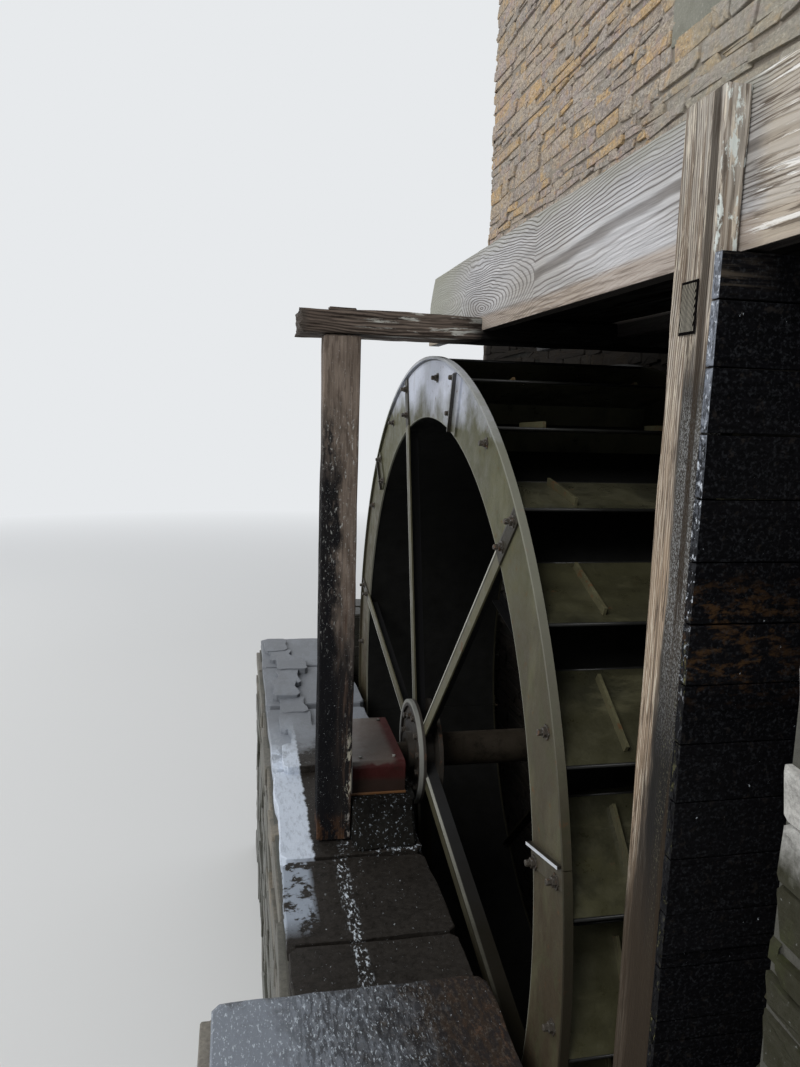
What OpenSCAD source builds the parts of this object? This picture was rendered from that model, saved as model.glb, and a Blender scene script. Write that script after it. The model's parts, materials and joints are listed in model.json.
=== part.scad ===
// Overshot watermill: a rubble stone mill, its iron wheel in a walled pit, and the timber launder over it.
// +X points from the wheel into the mill, +Y along the wheel's wall, +Z up, all in millimetres.
// The origin lies in the foot of the wheel's gable, half way through its thickness, below the axle.

/* [Wheel] */
// Diameter over the lips of the two rings
wheel_dia = 3050; // [2600:10:3400]
// Width of the wheel over the lips of its rings
wheel_w = 760; // [600:10:1000]
// Radial width of a ring
ring_w = 220; // [160:5:280]
// Thickness of the ring plate
ring_t = 8; // [6:1:14]
// How far the ring's lip stands out of the ring plate
lip_h = 12; // [8:1:20]
// Thickness of the ring's lip
lip_t = 10; // [6:1:14]
// Number of ring segments, and of spokes on each side
spoke_count = 6; // [4:1:8]
// Angle of the first spoke above the far horizontal
spoke_start = 14; // [0:1:40]
// Gap between two ring segments
segment_gap = 2; // [1:0.5:4]
// Width of a spoke's face and depth of its other leg
spoke_leg = 50; // [40:1:56]
// Thickness of a spoke's legs
spoke_t = 6; // [4:1:8]
// Thickness of the sole plate between the rings
sole_t = 6; // [4:1:10]

/* [Buckets] */
// Number of buckets
bucket_count = 30; // [24:6:36]
// Thickness of a bucket plate
bucket_t = 5; // [3:1:8]
// Radial height of the bucket's riser
riser_h = 72; // [50:1:100]
// Angle that the bucket sweeps from riser to lip
bucket_sweep = 9; // [7:0.5:10]
// Distance of the bucket's lip inside the wheel's rim
lip_inset = 6; // [4:1:20]
// Height of the stiffening rib on a bucket
rib_h = 20; // [12:1:26]
// Thickness of the stiffening rib
rib_t = 8; // [5:1:12]
// Distance of a rib from the face of the wheel
rib_x = 168; // [120:1:220]
// Distance by which a rib stops short of the lip
rib_short = 30; // [20:1:50]
// Room left for the weld under a rib
rib_seat = 0.05; // [0.02:0.01:0.2]

/* [Axle and hubs] */
// Diameter of the axle between the hubs
axle_dia = 130; // [110:2:150]
// Diameter of the axle inside a hub
hub_seat_dia = 100; // [84:2:106]
// Diameter of the journals in the bearings
journal_dia = 70; // [50:1:80]
// Diameter of the hub's flanges
hub_dia = 400; // [340:5:460]
// Thickness of a hub flange
flange_t = 16; // [12:1:24]
// Diameter of the hub's barrel
barrel_dia = 210; // [170:5:240]
// Length of the boss that stands out of the hub
boss_h = 24; // [12:1:36]
// Diameter of the boss
boss_dia = 150; // [130:2:170]
// Radial clearance of a journal in its bearing
journal_clearance = 0.06; // [0.02:0.01:0.1]
// Radial clearance of a hub on the axle
seat_clearance = 0.3; // [0.1:0.1:0.5]

/* [Bearings] */
// Length of the outer bearing box along the axle
box_l = 195; // [150:5:220]
// Length of the outer bearing box across the axle
box_w = 450; // [360:10:520]
// Height of the outer bearing box above the axle's centre
box_up = 60; // [50:1:90]
// Height of the outer bearing box below the axle's centre
box_down = 60; // [50:1:90]
// Radius of the bearing box's top edges
box_round = 22; // [8:1:32]
// Distance of the bearing box from the face of the wheel
box_gap = 80; // [60:1:110]
// Length of the bearing plinth along the axle
plinth_l = 240; // [220:5:245]
// Width of the bearing plinth at its top
plinth_w = 580; // [540:10:600]
// How far the plinth spreads at each end down to its foot
plinth_spread = 70; // [20:5:80]
// Side of the square wall bearing
wall_box_w = 300; // [240:5:360]
// Depth of the wall bearing into the wall
wall_box_l = 240; // [180:5:300]

/* [Pit] */
// Clear height below the wheel
pit_clear = 125; // [60:5:250]
// Gap between the wheel and the mill's wall
wall_gap = 220; // [180:5:320]
// Gap between the outer pit wall and the face of the wheel
pit_gap = 30; // [20:1:60]
// Depth of the platform below the axle's centre
platform_drop = 200; // [180:5:260]
// Width of the outer pit wall under the platform
platform_w = 515; // [460:5:600]
// Thickness of the platform's flagstones
slab_t = 70; // [50:5:90]
// Joint between two flagstones
slab_joint = 8; // [4:1:15]
// How much higher the near flagstone lies than the others
near_step = 70; // [40:5:75]
// Width of the near part of the outer pit wall
near_w = 725; // [650:5:800]
// Distance of the near step from the axle
near_step_y = 1100; // [1000:10:1300]
// Distance of the pit wall's far end beyond the axle
pit_far_y = 2300; // [2200:10:2400]
// Thickness of the pit's end wall
end_wall_t = 400; // [300:10:450]
// Height of the pit's end wall above the axle's centre
end_wall_up = 50; // [0:10:150]
// Width of the tailrace opening
tail_w = 560; // [400:10:640]
// Height of the tailrace opening
tail_h = 700; // [500:10:800]
// Thickness of the near pier
pier_t = 300; // [250:10:350]
// Distance of the near pier's outer face from the axle
pier_y = 2300; // [2250:10:2400]
// Height of the near pier above the axle's centre
pier_up = 1120; // [900:10:1300]
// Distance of the pier's free end from the face of the wheel
pier_x = 110; // [100:5:160]

/* [Launder] */
// Thickness of the launder's side boards
board_t = 45; // [35:1:55]
// Height of the launder's side boards
board_h = 266; // [220:2:300]
// Distance of the launder's outside from the face of the wheel
launder_x = 115; // [100:1:140]
// Height of the launder's underside above the wheel's rim
launder_up = 75; // [60:1:110]
// Thickness of the launder's floor
launder_floor_t = 40; // [30:1:50]
// Distance of the launder's far end beyond the axle
launder_far_y = 492; // [460:2:560]
// Length of the sloping cut at the top of the far end
rake_l = 74; // [40:2:120]
// Height of the sloping cut at the top of the far end
rake_h = 115; // [60:5:160]
// Distance of the launder's near end from the axle
launder_near_y = 3300; // [3250:10:3600]
// Height of the ties between the side boards
tie_h = 40; // [30:1:50]
// Width of the ties
tie_w = 70; // [50:1:100]

/* [Timber frame] */
// Width of the outer post across the wheel
post_w = 124; // [110:1:130]
// Depth of the outer post along the wheel
post_d = 90; // [70:1:100]
// Distance of the outer post from the face of the wheel
post_x = 285; // [280:1:300]
// Distance of the outer post's near face from the axle
post_y = 283; // [275:1:295]
// Height of the cross beam
beam_h = 82; // [74:1:96]
// Depth of the cross beam along the wheel
beam_d = 250; // [200:5:280]
// How far the cross beam runs out past the outer post
beam_out = 91; // [40:1:150]
// Height of the notch in the launder over the cross beam
notch_h = 47; // [30:1:60]
// Depth of a beam's seat in the mill's wall
beam_seat = 150; // [100:5:200]
// Thickness of the near post
near_post_t = 45; // [35:1:60]
// Width of the near post along the wheel
near_post_w = 130; // [110:1:150]
// Distance of the near post's near face from the axle
near_post_y = 1746; // [1730:1:1790]
// Height of the near beam
near_beam_h = 150; // [120:5:180]
// Thickness of the near beam
near_beam_t = 76; // [60:2:90]
// Height of the tenon through the near post
tenon_h = 85; // [60:1:100]
// Thickness of the tenon
tenon_t = 44; // [30:1:54]
// Drop of the tenon's top below the near beam's top
tenon_drop = 42; // [10:1:50]
// Thickness of the splash boards
splash_t = 24; // [18:1:32]
// Height of a splash board
splash_h = 105; // [90:1:140]
// Height of the top splash board
splash_first = 74; // [60:1:105]
// Gap between two splash boards
splash_gap = 2; // [1:0.5:5]

/* [Mill] */
// Width of the mill over its side walls
mill_w = 5080; // [4700:10:5600]
// Length of the mill over its gables
mill_l = 6500; // [5800:10:7400]
// Thickness of the mill's walls
wall_t = 600; // [500:10:700]
// Height of the side walls
eaves_h = 6200; // [5900:10:6800]
// Pitch of the roof in degrees
roof_pitch = 40; // [34:1:46]
// Thickness of the roof's slabs
roof_t = 110; // [80:5:150]
// Overhang of the roof at the eaves
eaves_out = 90; // [40:5:150]
// Room left for the bed between the roof and what it lies on
roof_bed = 0.5; // [0.2:0.1:0.9]
// Width of the coping stones on the gables
skew_w = 320; // [250:10:400]
// Thickness of the coping stones
skew_t = 70; // [50:5:100]
// Leg of the ridge stones measured down the roof
ridge_leg = 260; // [200:10:320]
// Thickness of the ridge stones
ridge_t = 60; // [40:5:80]
// Height of the ground floor's flagstones
floor_h = 100; // [60:5:150]
// Height of the upper floor's top
upper_h = 3100; // [2950:10:3200]
// Thickness of the upper floor
upper_t = 220; // [150:10:260]

/* [Openings] */
// Width of a window opening
window_w = 700; // [600:10:800]
// Height of a window opening
window_h = 900; // [800:10:1000]
// Height of the lower windows' sills
lower_sill = 1250; // [1100:10:1400]
// Height of the upper windows' sills
upper_sill = 4000; // [3900:10:4300]
// Distance between the two windows of a side wall
window_pitch = 2800; // [2400:10:3200]
// Width of the door opening
door_w = 1000; // [900:10:1200]
// Height of the door opening
door_h = 2050; // [1900:10:2200]
// Height of a lintel
lintel_h = 180; // [140:5:220]
// Bearing of a lintel at each end
lintel_bear = 180; // [120:5:220]
// Depth of a lintel into the wall
lintel_d = 200; // [150:10:260]
// Thickness of a sill
sill_t = 80; // [60:5:100]
// How far a sill stands out of the wall
sill_out = 40; // [20:2:60]
// Setback of frames behind the wall's face
frame_set = 110; // [80:5:160]
// Width of a frame's members
frame_w = 60; // [45:1:80]
// Depth of a frame
frame_d = 70; // [50:1:90]
// Thickness of the glass
glass_t = 6; // [4:1:10]
// Thickness of the door's leaf
leaf_t = 50; // [40:1:60]
// Clearance round the door's leaf
leaf_gap = 3; // [2:1:6]

/* [Hidden] */
$fn = 96;
eps = 1;

// Places worked out from the sizes above
wheel_r = wheel_dia / 2;
ring_in = wheel_r - ring_w;
hub_z = wheel_r + pit_clear;
wheel_x = -wall_t / 2 - wall_gap - wheel_w;
wall_face_x = -wall_t / 2;
plate_in = lip_h + ring_t;
bay_w = wheel_w - 2 * plate_in;
sole_r = ring_in + sole_t + 5;
bucket_lip_r = wheel_r - lip_inset;
segment_angle = 360 / spoke_count;
bucket_pitch = 360 / bucket_count;
spoke_face = lip_h - spoke_t;
flange_in = spoke_face + spoke_leg;
platform_z = hub_z - platform_drop;
near_slab_z = platform_z + near_step;
pit_x = wheel_x - pit_gap;
launder_z = hub_z + wheel_r + launder_up;
launder_w = wheel_w - 2 * launder_x;
beam_z = launder_z + notch_h - beam_h;
beam_near_y = -(post_y + 17);
half_w = mill_w / 2;
far_gable_x = mill_l - wall_t / 2;
inner_l = mill_l - 2 * wall_t;
roof_rise = half_w * tan(roof_pitch);
near_beam_y = -(near_post_y - near_post_w / 2);
end_post_y = -(launder_near_y - 40);

// Turns a piece drawn in a flat plan so that its plan's x runs along Y, its y along Z and its depth along X
module stand_across() {
    rotate([90, 0, 90]) children();
}

// Places children at the hub, on the outer face of the wheel
module at_wheel() {
    translate([wheel_x, 0, hub_z]) children();
}

// Places a piece about the axle, with its x pointing out along the given angle
module about_axle(angle) {
    stand_across() rotate([0, 0, angle]) children();
}

// Repeats a piece on the mill's side of the wheel, as a mirror image
module on_mill_side() {
    translate([wheel_w, 0, 0]) mirror([1, 0, 0]) children();
}

// A plain block from a low corner to a high corner
module block(low, high) {
    translate(low) cube(high - low);
}

function polar(r, angle) = [r * cos(angle), r * sin(angle)];
function unit(v) = v / norm(v);
function left_of(v) = [-v[1], v[0]];

// The bucket's bend and lip, the foot of its riser, and the directions of its two plates
elbow = polar(sole_r + riser_h, -bucket_sweep);
lip = polar(bucket_lip_r, 0);
riser_foot = polar(sole_r, -bucket_sweep);
riser_way = unit(elbow - riser_foot);
face_way = unit(lip - elbow);

// The mitre at the bend, from its inner corner to its outer corner
mitre_way = unit(left_of(riser_way) + left_of(face_way));
mitre = mitre_way * (bucket_t / 2) / (mitre_way * left_of(face_way));

// Outline of a flat strip that lies on the bucket's face, from one side distance to another
function strip_on(a, b, low, high) =
    [a + left_of(face_way) * low, b + left_of(face_way) * low,
     b + left_of(face_way) * high, a + left_of(face_way) * high];

// Profile of one ring: a flat plate with a lip at its rim
module ring_profile() {
    polygon([
        [ring_in, lip_h], [wheel_r - lip_t, lip_h], [wheel_r - lip_t, 0], [wheel_r, 0],
        [wheel_r, plate_in], [ring_in, plate_in]
    ]);
}

// A ring of separate segments, which meet about half way between the spokes
joint_past = 2;
joint_start = spoke_start + segment_angle / 2 + joint_past;
gap_angle = segment_gap / wheel_r * 180 / PI;
module ring() {
    for (k = [0:spoke_count - 1])
        about_axle(joint_start + k * segment_angle + gap_angle / 2)
            rotate_extrude(angle = segment_angle - gap_angle) ring_profile();
}

module outer_ring() {
    color([0.50, 0.49, 0.42]) at_wheel() ring();
}

module inner_ring() {
    color([0.42, 0.41, 0.36]) at_wheel() on_mill_side() ring();
}

// Short angle straps on the ring segments' joints, each with its free leg at the joint
strap_w = 56;
strap_leg = 20;
strap_t = 7;
strap_before = 6;
strap_inset = 8;
module strap_row() {
    strap_l = ring_w - lip_t - 2 * strap_inset;
    for (k = [0:spoke_count - 1])
        about_axle(joint_start + k * segment_angle)
            translate([ring_in + strap_inset, -strap_before, lip_h - strap_t]) {
                cube([strap_l, strap_w, strap_t]);
                translate([0, 0, strap_t - strap_leg]) cube([strap_l, strap_t, strap_leg]);
            }
}

module splice_straps() {
    color([0.66, 0.66, 0.62]) at_wheel() {
        strap_row();
        on_mill_side() strap_row();
    }
}

// Angle iron spokes: the face lies on the ring, the other leg points into the wheel
module spoke_row() {
    hub_start = barrel_dia / 2 + 4;
    face_l = wheel_r - lip_t - 6 - hub_start;
    leg_l = ring_in - 6 - hub_start;
    for (k = [0:spoke_count - 1])
        about_axle(spoke_start + k * segment_angle) {
            translate([hub_start, -spoke_leg / 2, spoke_face]) cube([face_l, spoke_leg, spoke_t]);
            translate([hub_start, -spoke_leg / 2, spoke_face]) cube([leg_l, spoke_t, spoke_leg]);
        }
}

module outer_spokes() {
    color([0.48, 0.46, 0.38]) at_wheel() spoke_row();
}

module inner_spokes() {
    color([0.40, 0.38, 0.32]) at_wheel() on_mill_side() spoke_row();
}

// A cast hub: two flanges that hold the spokes between them, a barrel, a rim and a boss
module hub() {
    rim_w = 26;
    rim_h = 9;
    hub_r = hub_dia / 2;
    boss_x = spoke_face - flange_t - boss_h;
    stand_across() difference() {
        union() {
            translate([0, 0, spoke_face - flange_t]) cylinder(h = flange_t, r = hub_r);
            translate([0, 0, spoke_face - flange_t - rim_h]) difference() {
                cylinder(h = rim_h + eps, r = hub_r);
                translate([0, 0, -eps]) cylinder(h = rim_h + 3 * eps, r = hub_r - rim_w);
            }
            translate([0, 0, boss_x]) cylinder(h = boss_h + eps, d = boss_dia);
            translate([0, 0, spoke_face - eps]) cylinder(h = spoke_leg + 2 * eps, d = barrel_dia);
            translate([0, 0, flange_in]) cylinder(h = flange_t, r = hub_r);
        }
        translate([0, 0, boss_x - eps])
            cylinder(h = boss_h + 2 * flange_t + spoke_leg + 2 * eps, d = hub_seat_dia + 2 * seat_clearance);
    }
}

module outer_hub() {
    color([0.33, 0.30, 0.26]) at_wheel() hub();
}

module inner_hub() {
    color([0.30, 0.28, 0.25]) at_wheel() on_mill_side() hub();
}

// The axle: a thick body between the hubs, a seat in each hub and a journal at each end
module axle() {
    shoulder = flange_in + flange_t + 0.3;
    boss_x = spoke_face - flange_t - boss_h;
    outer_end = -(box_gap + box_l - 25);
    inner_end = wheel_w + wall_gap + wall_box_l - 40;
    color([0.30, 0.28, 0.26]) at_wheel() stand_across() union() {
        translate([0, 0, outer_end]) cylinder(h = inner_end - outer_end, d = journal_dia);
        translate([0, 0, boss_x]) cylinder(h = wheel_w - 2 * boss_x, d = hub_seat_dia);
        translate([0, 0, shoulder]) cylinder(h = wheel_w - 2 * shoulder, d = axle_dia);
    }
}

// The sole: curved plates between the rings, one to each ring segment
module wheel_sole() {
    color([0.22, 0.22, 0.20]) at_wheel() translate([plate_in, 0, 0])
        for (k = [0:spoke_count - 1])
            about_axle(joint_start + k * segment_angle + gap_angle / 2)
                rotate_extrude(angle = segment_angle - gap_angle)
                    translate([sole_r - sole_t, 0]) square([sole_t, bay_w]);
}

// One plate across the wheel for each bucket, between the two rings
module bucket_plates(outline) {
    at_wheel() translate([plate_in, 0, 0]) for (k = [0:bucket_count - 1])
        about_axle(spoke_start + k * bucket_pitch) linear_extrude(bay_w) polygon(outline);
}

// Elbow buckets: a riser that stands on the sole, and a sloping face that ends in the lip
module bucket_risers() {
    side = left_of(riser_way) * bucket_t / 2;
    color([0.30, 0.30, 0.20])
        bucket_plates([riser_foot + side, elbow + mitre, elbow - mitre, riser_foot - side]);
}

module bucket_faces() {
    side = left_of(face_way) * bucket_t / 2;
    color([0.33, 0.33, 0.20]) bucket_plates([elbow + mitre, lip + side, lip - side, elbow - mitre]);
}

// Ribs that stiffen the outer side of each bucket's face
module bucket_ribs() {
    foot = -bucket_t / 2 - rib_seat;
    outline = strip_on(elbow + face_way * rib_short, lip - face_way * rib_short, foot, foot - rib_h);
    color([0.42, 0.42, 0.26]) at_wheel()
        for (k = [0:bucket_count - 1], x = [rib_x, wheel_w - rib_x - rib_t])
            translate([x, 0, 0]) about_axle(spoke_start + k * bucket_pitch)
                linear_extrude(rib_t) polygon(outline);
}

// A block with rounded top edges along its depth, drawn about the middle of its foot
module round_topped(w, h, depth, r) {
    translate([-w / 2, 0, 0]) cube([w, h - r, depth]);
    translate([-w / 2 + r, 0, 0]) cube([w - 2 * r, h, depth]);
    for (side = [-1, 1])
        translate([side * (w / 2 - r), h - r, 0]) cylinder(h = depth, r = r);
}

module bearing_box() {
    color([0.33, 0.10, 0.10]) at_wheel() translate([-box_gap - box_l, 0, 0]) stand_across() difference() {
        translate([0, -box_down, 0]) round_topped(box_w, box_up + box_down, box_l, box_round);
        translate([0, 0, -eps]) cylinder(h = box_l + 2 * eps, d = journal_dia + 2 * journal_clearance);
    }
}

module wall_bearing() {
    color([0.28, 0.27, 0.25]) at_wheel() translate([wheel_w + wall_gap, 0, 0]) stand_across() difference() {
        translate([-wall_box_w / 2, -wall_box_w / 2, 0]) cube([wall_box_w, wall_box_w, wall_box_l]);
        translate([0, 0, -eps])
            cylinder(h = wall_box_l - 20 + eps, d = journal_dia + 2 * journal_clearance);
    }
}

// Mass concrete under the bearing box, spreading towards its foot
module bearing_plinth() {
    top = -box_down;
    foot = -platform_drop;
    half = plinth_w / 2;
    color([0.30, 0.29, 0.27]) at_wheel() translate([-box_gap + 35 - plinth_l, 0, 0])
        stand_across() linear_extrude(plinth_l)
            polygon([
                [-half - plinth_spread, foot], [half + plinth_spread, foot], [half, top], [-half, top]
            ]);
}

// Masonry of the outer side of the pit, wider and higher at its near end
module outer_pit_wall() {
    color([0.36, 0.34, 0.31]) union() {
        block([pit_x - platform_w, -near_step_y, 0], [pit_x, pit_far_y, platform_z - slab_t]);
        block([pit_x - near_w, -pier_y, 0], [pit_x, -near_step_y, near_slab_z - slab_t]);
    }
}

// Flagstones on the outer pit wall
slab_ends = [-near_step_y, -835, -380, 330, 1060, 1700, pit_far_y];
module platform_slabs() {
    color([0.27, 0.27, 0.28]) {
        for (k = [0:len(slab_ends) - 2])
            block([pit_x - platform_w, slab_ends[k] + (k == 0 ? 0 : slab_joint), platform_z - slab_t],
                  [pit_x, slab_ends[k + 1], platform_z]);
        block([pit_x - near_w, -pier_y, near_slab_z - slab_t],
              [pit_x, -near_step_y - slab_joint, near_slab_z]);
    }
}

// The wall across the pit's far end, with the tailrace opening under a lintel
tail_x = (pit_x + wall_face_x) / 2;
module pit_end_wall() {
    color([0.30, 0.29, 0.27]) difference() {
        block([pit_x, pit_far_y - end_wall_t, 0], [wall_face_x, pit_far_y, hub_z + end_wall_up]);
        block([tail_x - tail_w / 2, pit_far_y - end_wall_t - eps, -eps],
              [tail_x + tail_w / 2, pit_far_y + eps, tail_h]);
    }
}

module near_pier() {
    color([0.52, 0.48, 0.42])
        block([wheel_x + pier_x, -pier_y, 0], [wall_face_x, -pier_y + pier_t, hub_z + pier_up]);
}

module outer_post() {
    color([0.24, 0.18, 0.14])
        block([wheel_x - post_x - post_w, -post_y, platform_z],
              [wheel_x - post_x, -post_y + post_d, beam_z]);
}

module cross_beam() {
    color([0.30, 0.23, 0.18])
        block([wheel_x - post_x - post_w - beam_out, beam_near_y, beam_z],
              [wall_face_x + beam_seat, beam_near_y + beam_d, beam_z + beam_h]);
}

// A launder board with a raked far end and a notch over the cross beam
module launder_board() {
    color([0.50, 0.47, 0.42]) difference() {
        stand_across() linear_extrude(board_t) polygon([
            [-launder_near_y, launder_z], [launder_far_y, launder_z],
            [launder_far_y, launder_z + board_h - rake_h],
            [launder_far_y - rake_l, launder_z + board_h], [-launder_near_y, launder_z + board_h]
        ]);
        block([-eps, beam_near_y, launder_z - eps],
              [board_t + eps, beam_near_y + beam_d, launder_z + notch_h]);
    }
}

module launder_outer_board() {
    translate([wheel_x + launder_x, 0, 0]) launder_board();
}

module launder_inner_board() {
    translate([wheel_x + launder_x + launder_w - board_t, 0, 0]) launder_board();
}

module launder_floor() {
    low = launder_z + notch_h;
    color([0.34, 0.30, 0.26])
        block([wheel_x + launder_x + board_t, -launder_near_y, low],
              [wheel_x + launder_x + launder_w - board_t, launder_far_y, low + launder_floor_t]);
}

// Ties between the side boards, just under their top edges
tie_places = [-3150, -2400, -1680, -900, -175];
module launder_ties() {
    top = launder_z + board_h - 15;
    color([0.42, 0.38, 0.33]) for (y = tie_places)
        block([wheel_x + launder_x + board_t, y - tie_w / 2, top - tie_h],
              [wheel_x + launder_x + launder_w - board_t, y + tie_w / 2, top]);
}

// The slot that a beam's tenon fills in a post
module tenon_slot(x, y, t) {
    top = launder_z - tenon_drop;
    block([x - eps, y - tenon_t / 2, top - tenon_h], [x + t + eps, y + tenon_t / 2, top]);
}

// A plank post of the launder, with its slot for the tenon
module plank_post(x, y) {
    color([0.42, 0.34, 0.26]) difference() {
        block([x, y, 0], [x + near_post_t, y + near_post_w, post_top]);
        tenon_slot(x, y + near_post_w / 2, near_post_t);
    }
}

near_post_x = wheel_x + launder_x - near_post_t;
end_post_x = wheel_x + launder_x + launder_w;
post_top = launder_z + board_h - 10;
module launder_posts() {
    plank_post(near_post_x, -near_post_y);
    plank_post(near_post_x, end_post_y);
    plank_post(end_post_x, end_post_y);
}

// A beam under the launder from one post to its other end, with a tenon through the outer post
module carrier(y, high_x) {
    block([near_post_x, y - tenon_t / 2, launder_z - tenon_drop - tenon_h],
          [near_post_x + near_post_t + eps, y + tenon_t / 2, launder_z - tenon_drop]);
    block([near_post_x + near_post_t, y - near_beam_t / 2, launder_z - near_beam_h],
          [high_x, y + near_beam_t / 2, launder_z]);
}

module launder_beams() {
    end_y = end_post_y + near_post_w / 2;
    color([0.28, 0.23, 0.19]) {
        carrier(near_beam_y, wall_face_x + beam_seat);
        union() {
            carrier(end_y, end_post_x);
            block([end_post_x - eps, end_y - tenon_t / 2, launder_z - tenon_drop - tenon_h],
                  [end_post_x + near_post_t, end_y + tenon_t / 2, launder_z - tenon_drop]);
        }
    }
}

module wall_batten() {
    color([0.22, 0.19, 0.17])
        block([wall_face_x - near_post_t, -near_post_y, 0],
              [wall_face_x, near_beam_y - near_beam_t / 2 - 2, launder_z - 4]);
}

// Horizontal boards across the near end of the pit, under one narrow board
module splash_boards() {
    step = splash_h + splash_gap;
    foot = launder_z - 4 - splash_first;
    color([0.10, 0.09, 0.09]) {
        block([near_post_x, -near_post_y - splash_t, foot],
              [wall_face_x, -near_post_y, foot + splash_first]);
        for (k = [1:floor(foot / step)])
            block([near_post_x, -near_post_y - splash_t, foot - k * step],
                  [wall_face_x, -near_post_y, foot - k * step + splash_h]);
    }
}

// Openings of the mill. A wall's own frame has its outer face at depth 0, x along the wall and y up
side_windows = [
    for (x = [-window_pitch / 2, window_pitch / 2], z = [lower_sill, upper_sill]) [x, z]
];
gable_windows = [[0, upper_sill]];
lintel_places = [for (w = side_windows) [w[0], w[1] + window_h, window_w]];
gable_lintels = [[0, upper_sill + window_h, window_w], [0, floor_h + door_h, door_w]];

module lintel_at(p, d) {
    translate([p[0] - p[2] / 2 - lintel_bear, p[1], -eps * d])
        cube([p[2] + 2 * lintel_bear, lintel_h, lintel_d + eps * d]);
}

module window_hole(w) {
    translate([w[0] - window_w / 2, w[1], -eps]) cube([window_w, window_h, wall_t + 2 * eps]);
}

module door_hole() {
    translate([-door_w / 2, floor_h, -eps]) cube([door_w, door_h, wall_t + 2 * eps]);
}

// The sill's seat and the sill itself
module sill_at(w, d) {
    translate([w[0] - window_w / 2, w[1] - sill_t, -sill_out * (1 - d) - eps * d])
        cube([window_w, sill_t, frame_set + frame_d + sill_out * (1 - d) + eps * d]);
}

// Places of the walls' own frames
module on_far_gable() {
    translate([far_gable_x, 0, 0]) rotate([90, 0, 90]) mirror([0, 0, 1]) children();
}

module on_near_wall() {
    translate([mill_l / 2 - wall_t / 2, -half_w, 0]) rotate([90, 0, 0]) mirror([0, 0, 1]) children();
}

module on_far_wall() {
    translate([mill_l / 2 - wall_t / 2, half_w, 0]) mirror([0, 1, 0]) rotate([90, 0, 0]) mirror([0, 0, 1])
        children();
}

// A gable's outline from its foot to the underside of the roof
module gable_plan() {
    polygon([[-half_w, 0], [half_w, 0], [half_w, eaves_h], [0, eaves_h + roof_rise], [-half_w, eaves_h]]);
}

module wheel_gable() {
    seat = wall_face_x - eps;
    color([0.55, 0.49, 0.42]) difference() {
        translate([wall_face_x, 0, 0]) stand_across() linear_extrude(wall_t) gable_plan();
        at_wheel() translate([wheel_w + wall_gap - eps, -wall_box_w / 2, -wall_box_w / 2])
            cube([wall_box_l + eps, wall_box_w, wall_box_w]);
        block([seat, beam_near_y, beam_z], [wall_face_x + beam_seat, beam_near_y + beam_d, beam_z + beam_h]);
        block([seat, near_beam_y - near_beam_t / 2, launder_z - near_beam_h],
              [wall_face_x + beam_seat, near_beam_y + near_beam_t / 2, launder_z]);
    }
}

module far_gable() {
    color([0.54, 0.49, 0.42]) difference() {
        translate([far_gable_x - wall_t, 0, 0]) stand_across() linear_extrude(wall_t) gable_plan();
        on_far_gable() {
            for (w = gable_windows) {
                window_hole(w);
                sill_at(w, 1);
            }
            door_hole();
            for (p = gable_lintels) lintel_at(p, 1);
        }
    }
}

// A side wall between the gables, with its head sloped to the underside of the roof
module side_wall_body() {
    head = wall_t * tan(roof_pitch);
    translate([wall_t / 2, 0, 0]) stand_across() linear_extrude(inner_l)
        polygon([
            [-half_w, 0], [-half_w + wall_t, 0], [-half_w + wall_t, eaves_h + head], [-half_w, eaves_h]
        ]);
}

module side_wall_cuts() {
    for (w = side_windows) {
        window_hole(w);
        sill_at(w, 1);
    }
    for (p = lintel_places) lintel_at(p, 1);
}

module near_side_wall() {
    color([0.55, 0.50, 0.43]) difference() {
        side_wall_body();
        on_near_wall() side_wall_cuts();
    }
}

module far_side_wall() {
    color([0.55, 0.50, 0.43]) difference() {
        mirror([0, 1, 0]) side_wall_body();
        on_far_wall() side_wall_cuts();
    }
}

module stone_lintels() {
    color([0.50, 0.48, 0.44]) {
        on_near_wall() for (p = lintel_places) lintel_at(p, 0);
        on_far_wall() for (p = lintel_places) lintel_at(p, 0);
        on_far_gable() for (p = gable_lintels) lintel_at(p, 0);
    }
}

module window_sills() {
    color([0.48, 0.46, 0.42]) {
        on_near_wall() for (w = side_windows) sill_at(w, 0);
        on_far_wall() for (w = side_windows) sill_at(w, 0);
        on_far_gable() for (w = gable_windows) sill_at(w, 0);
    }
}

// A frame that fills an opening's edge, with the low corner at the opening's own corner
module frame_of(x, z, w, h, foot) {
    translate([x - w / 2, z, frame_set]) difference() {
        cube([w, h, frame_d]);
        translate([frame_w, foot ? frame_w : -eps, -eps])
            cube([w - 2 * frame_w, h - frame_w - (foot ? frame_w : -eps), frame_d + 2 * eps]);
    }
}

module window_frames() {
    color([0.80, 0.80, 0.77]) {
        on_near_wall() for (w = side_windows) frame_of(w[0], w[1], window_w, window_h, true);
        on_far_wall() for (w = side_windows) frame_of(w[0], w[1], window_w, window_h, true);
        on_far_gable() for (w = gable_windows) frame_of(w[0], w[1], window_w, window_h, true);
    }
}

module pane_at(w) {
    translate([w[0] - window_w / 2 + frame_w, w[1] + frame_w, frame_set + frame_d / 2 - glass_t / 2])
        cube([window_w - 2 * frame_w, window_h - 2 * frame_w, glass_t]);
}

module window_glass() {
    color([0.55, 0.62, 0.66, 0.5]) {
        on_near_wall() for (w = side_windows) pane_at(w);
        on_far_wall() for (w = side_windows) pane_at(w);
        on_far_gable() for (w = gable_windows) pane_at(w);
    }
}

module door_frame() {
    color([0.28, 0.32, 0.28]) on_far_gable() frame_of(0, floor_h, door_w, door_h, false);
}

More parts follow.
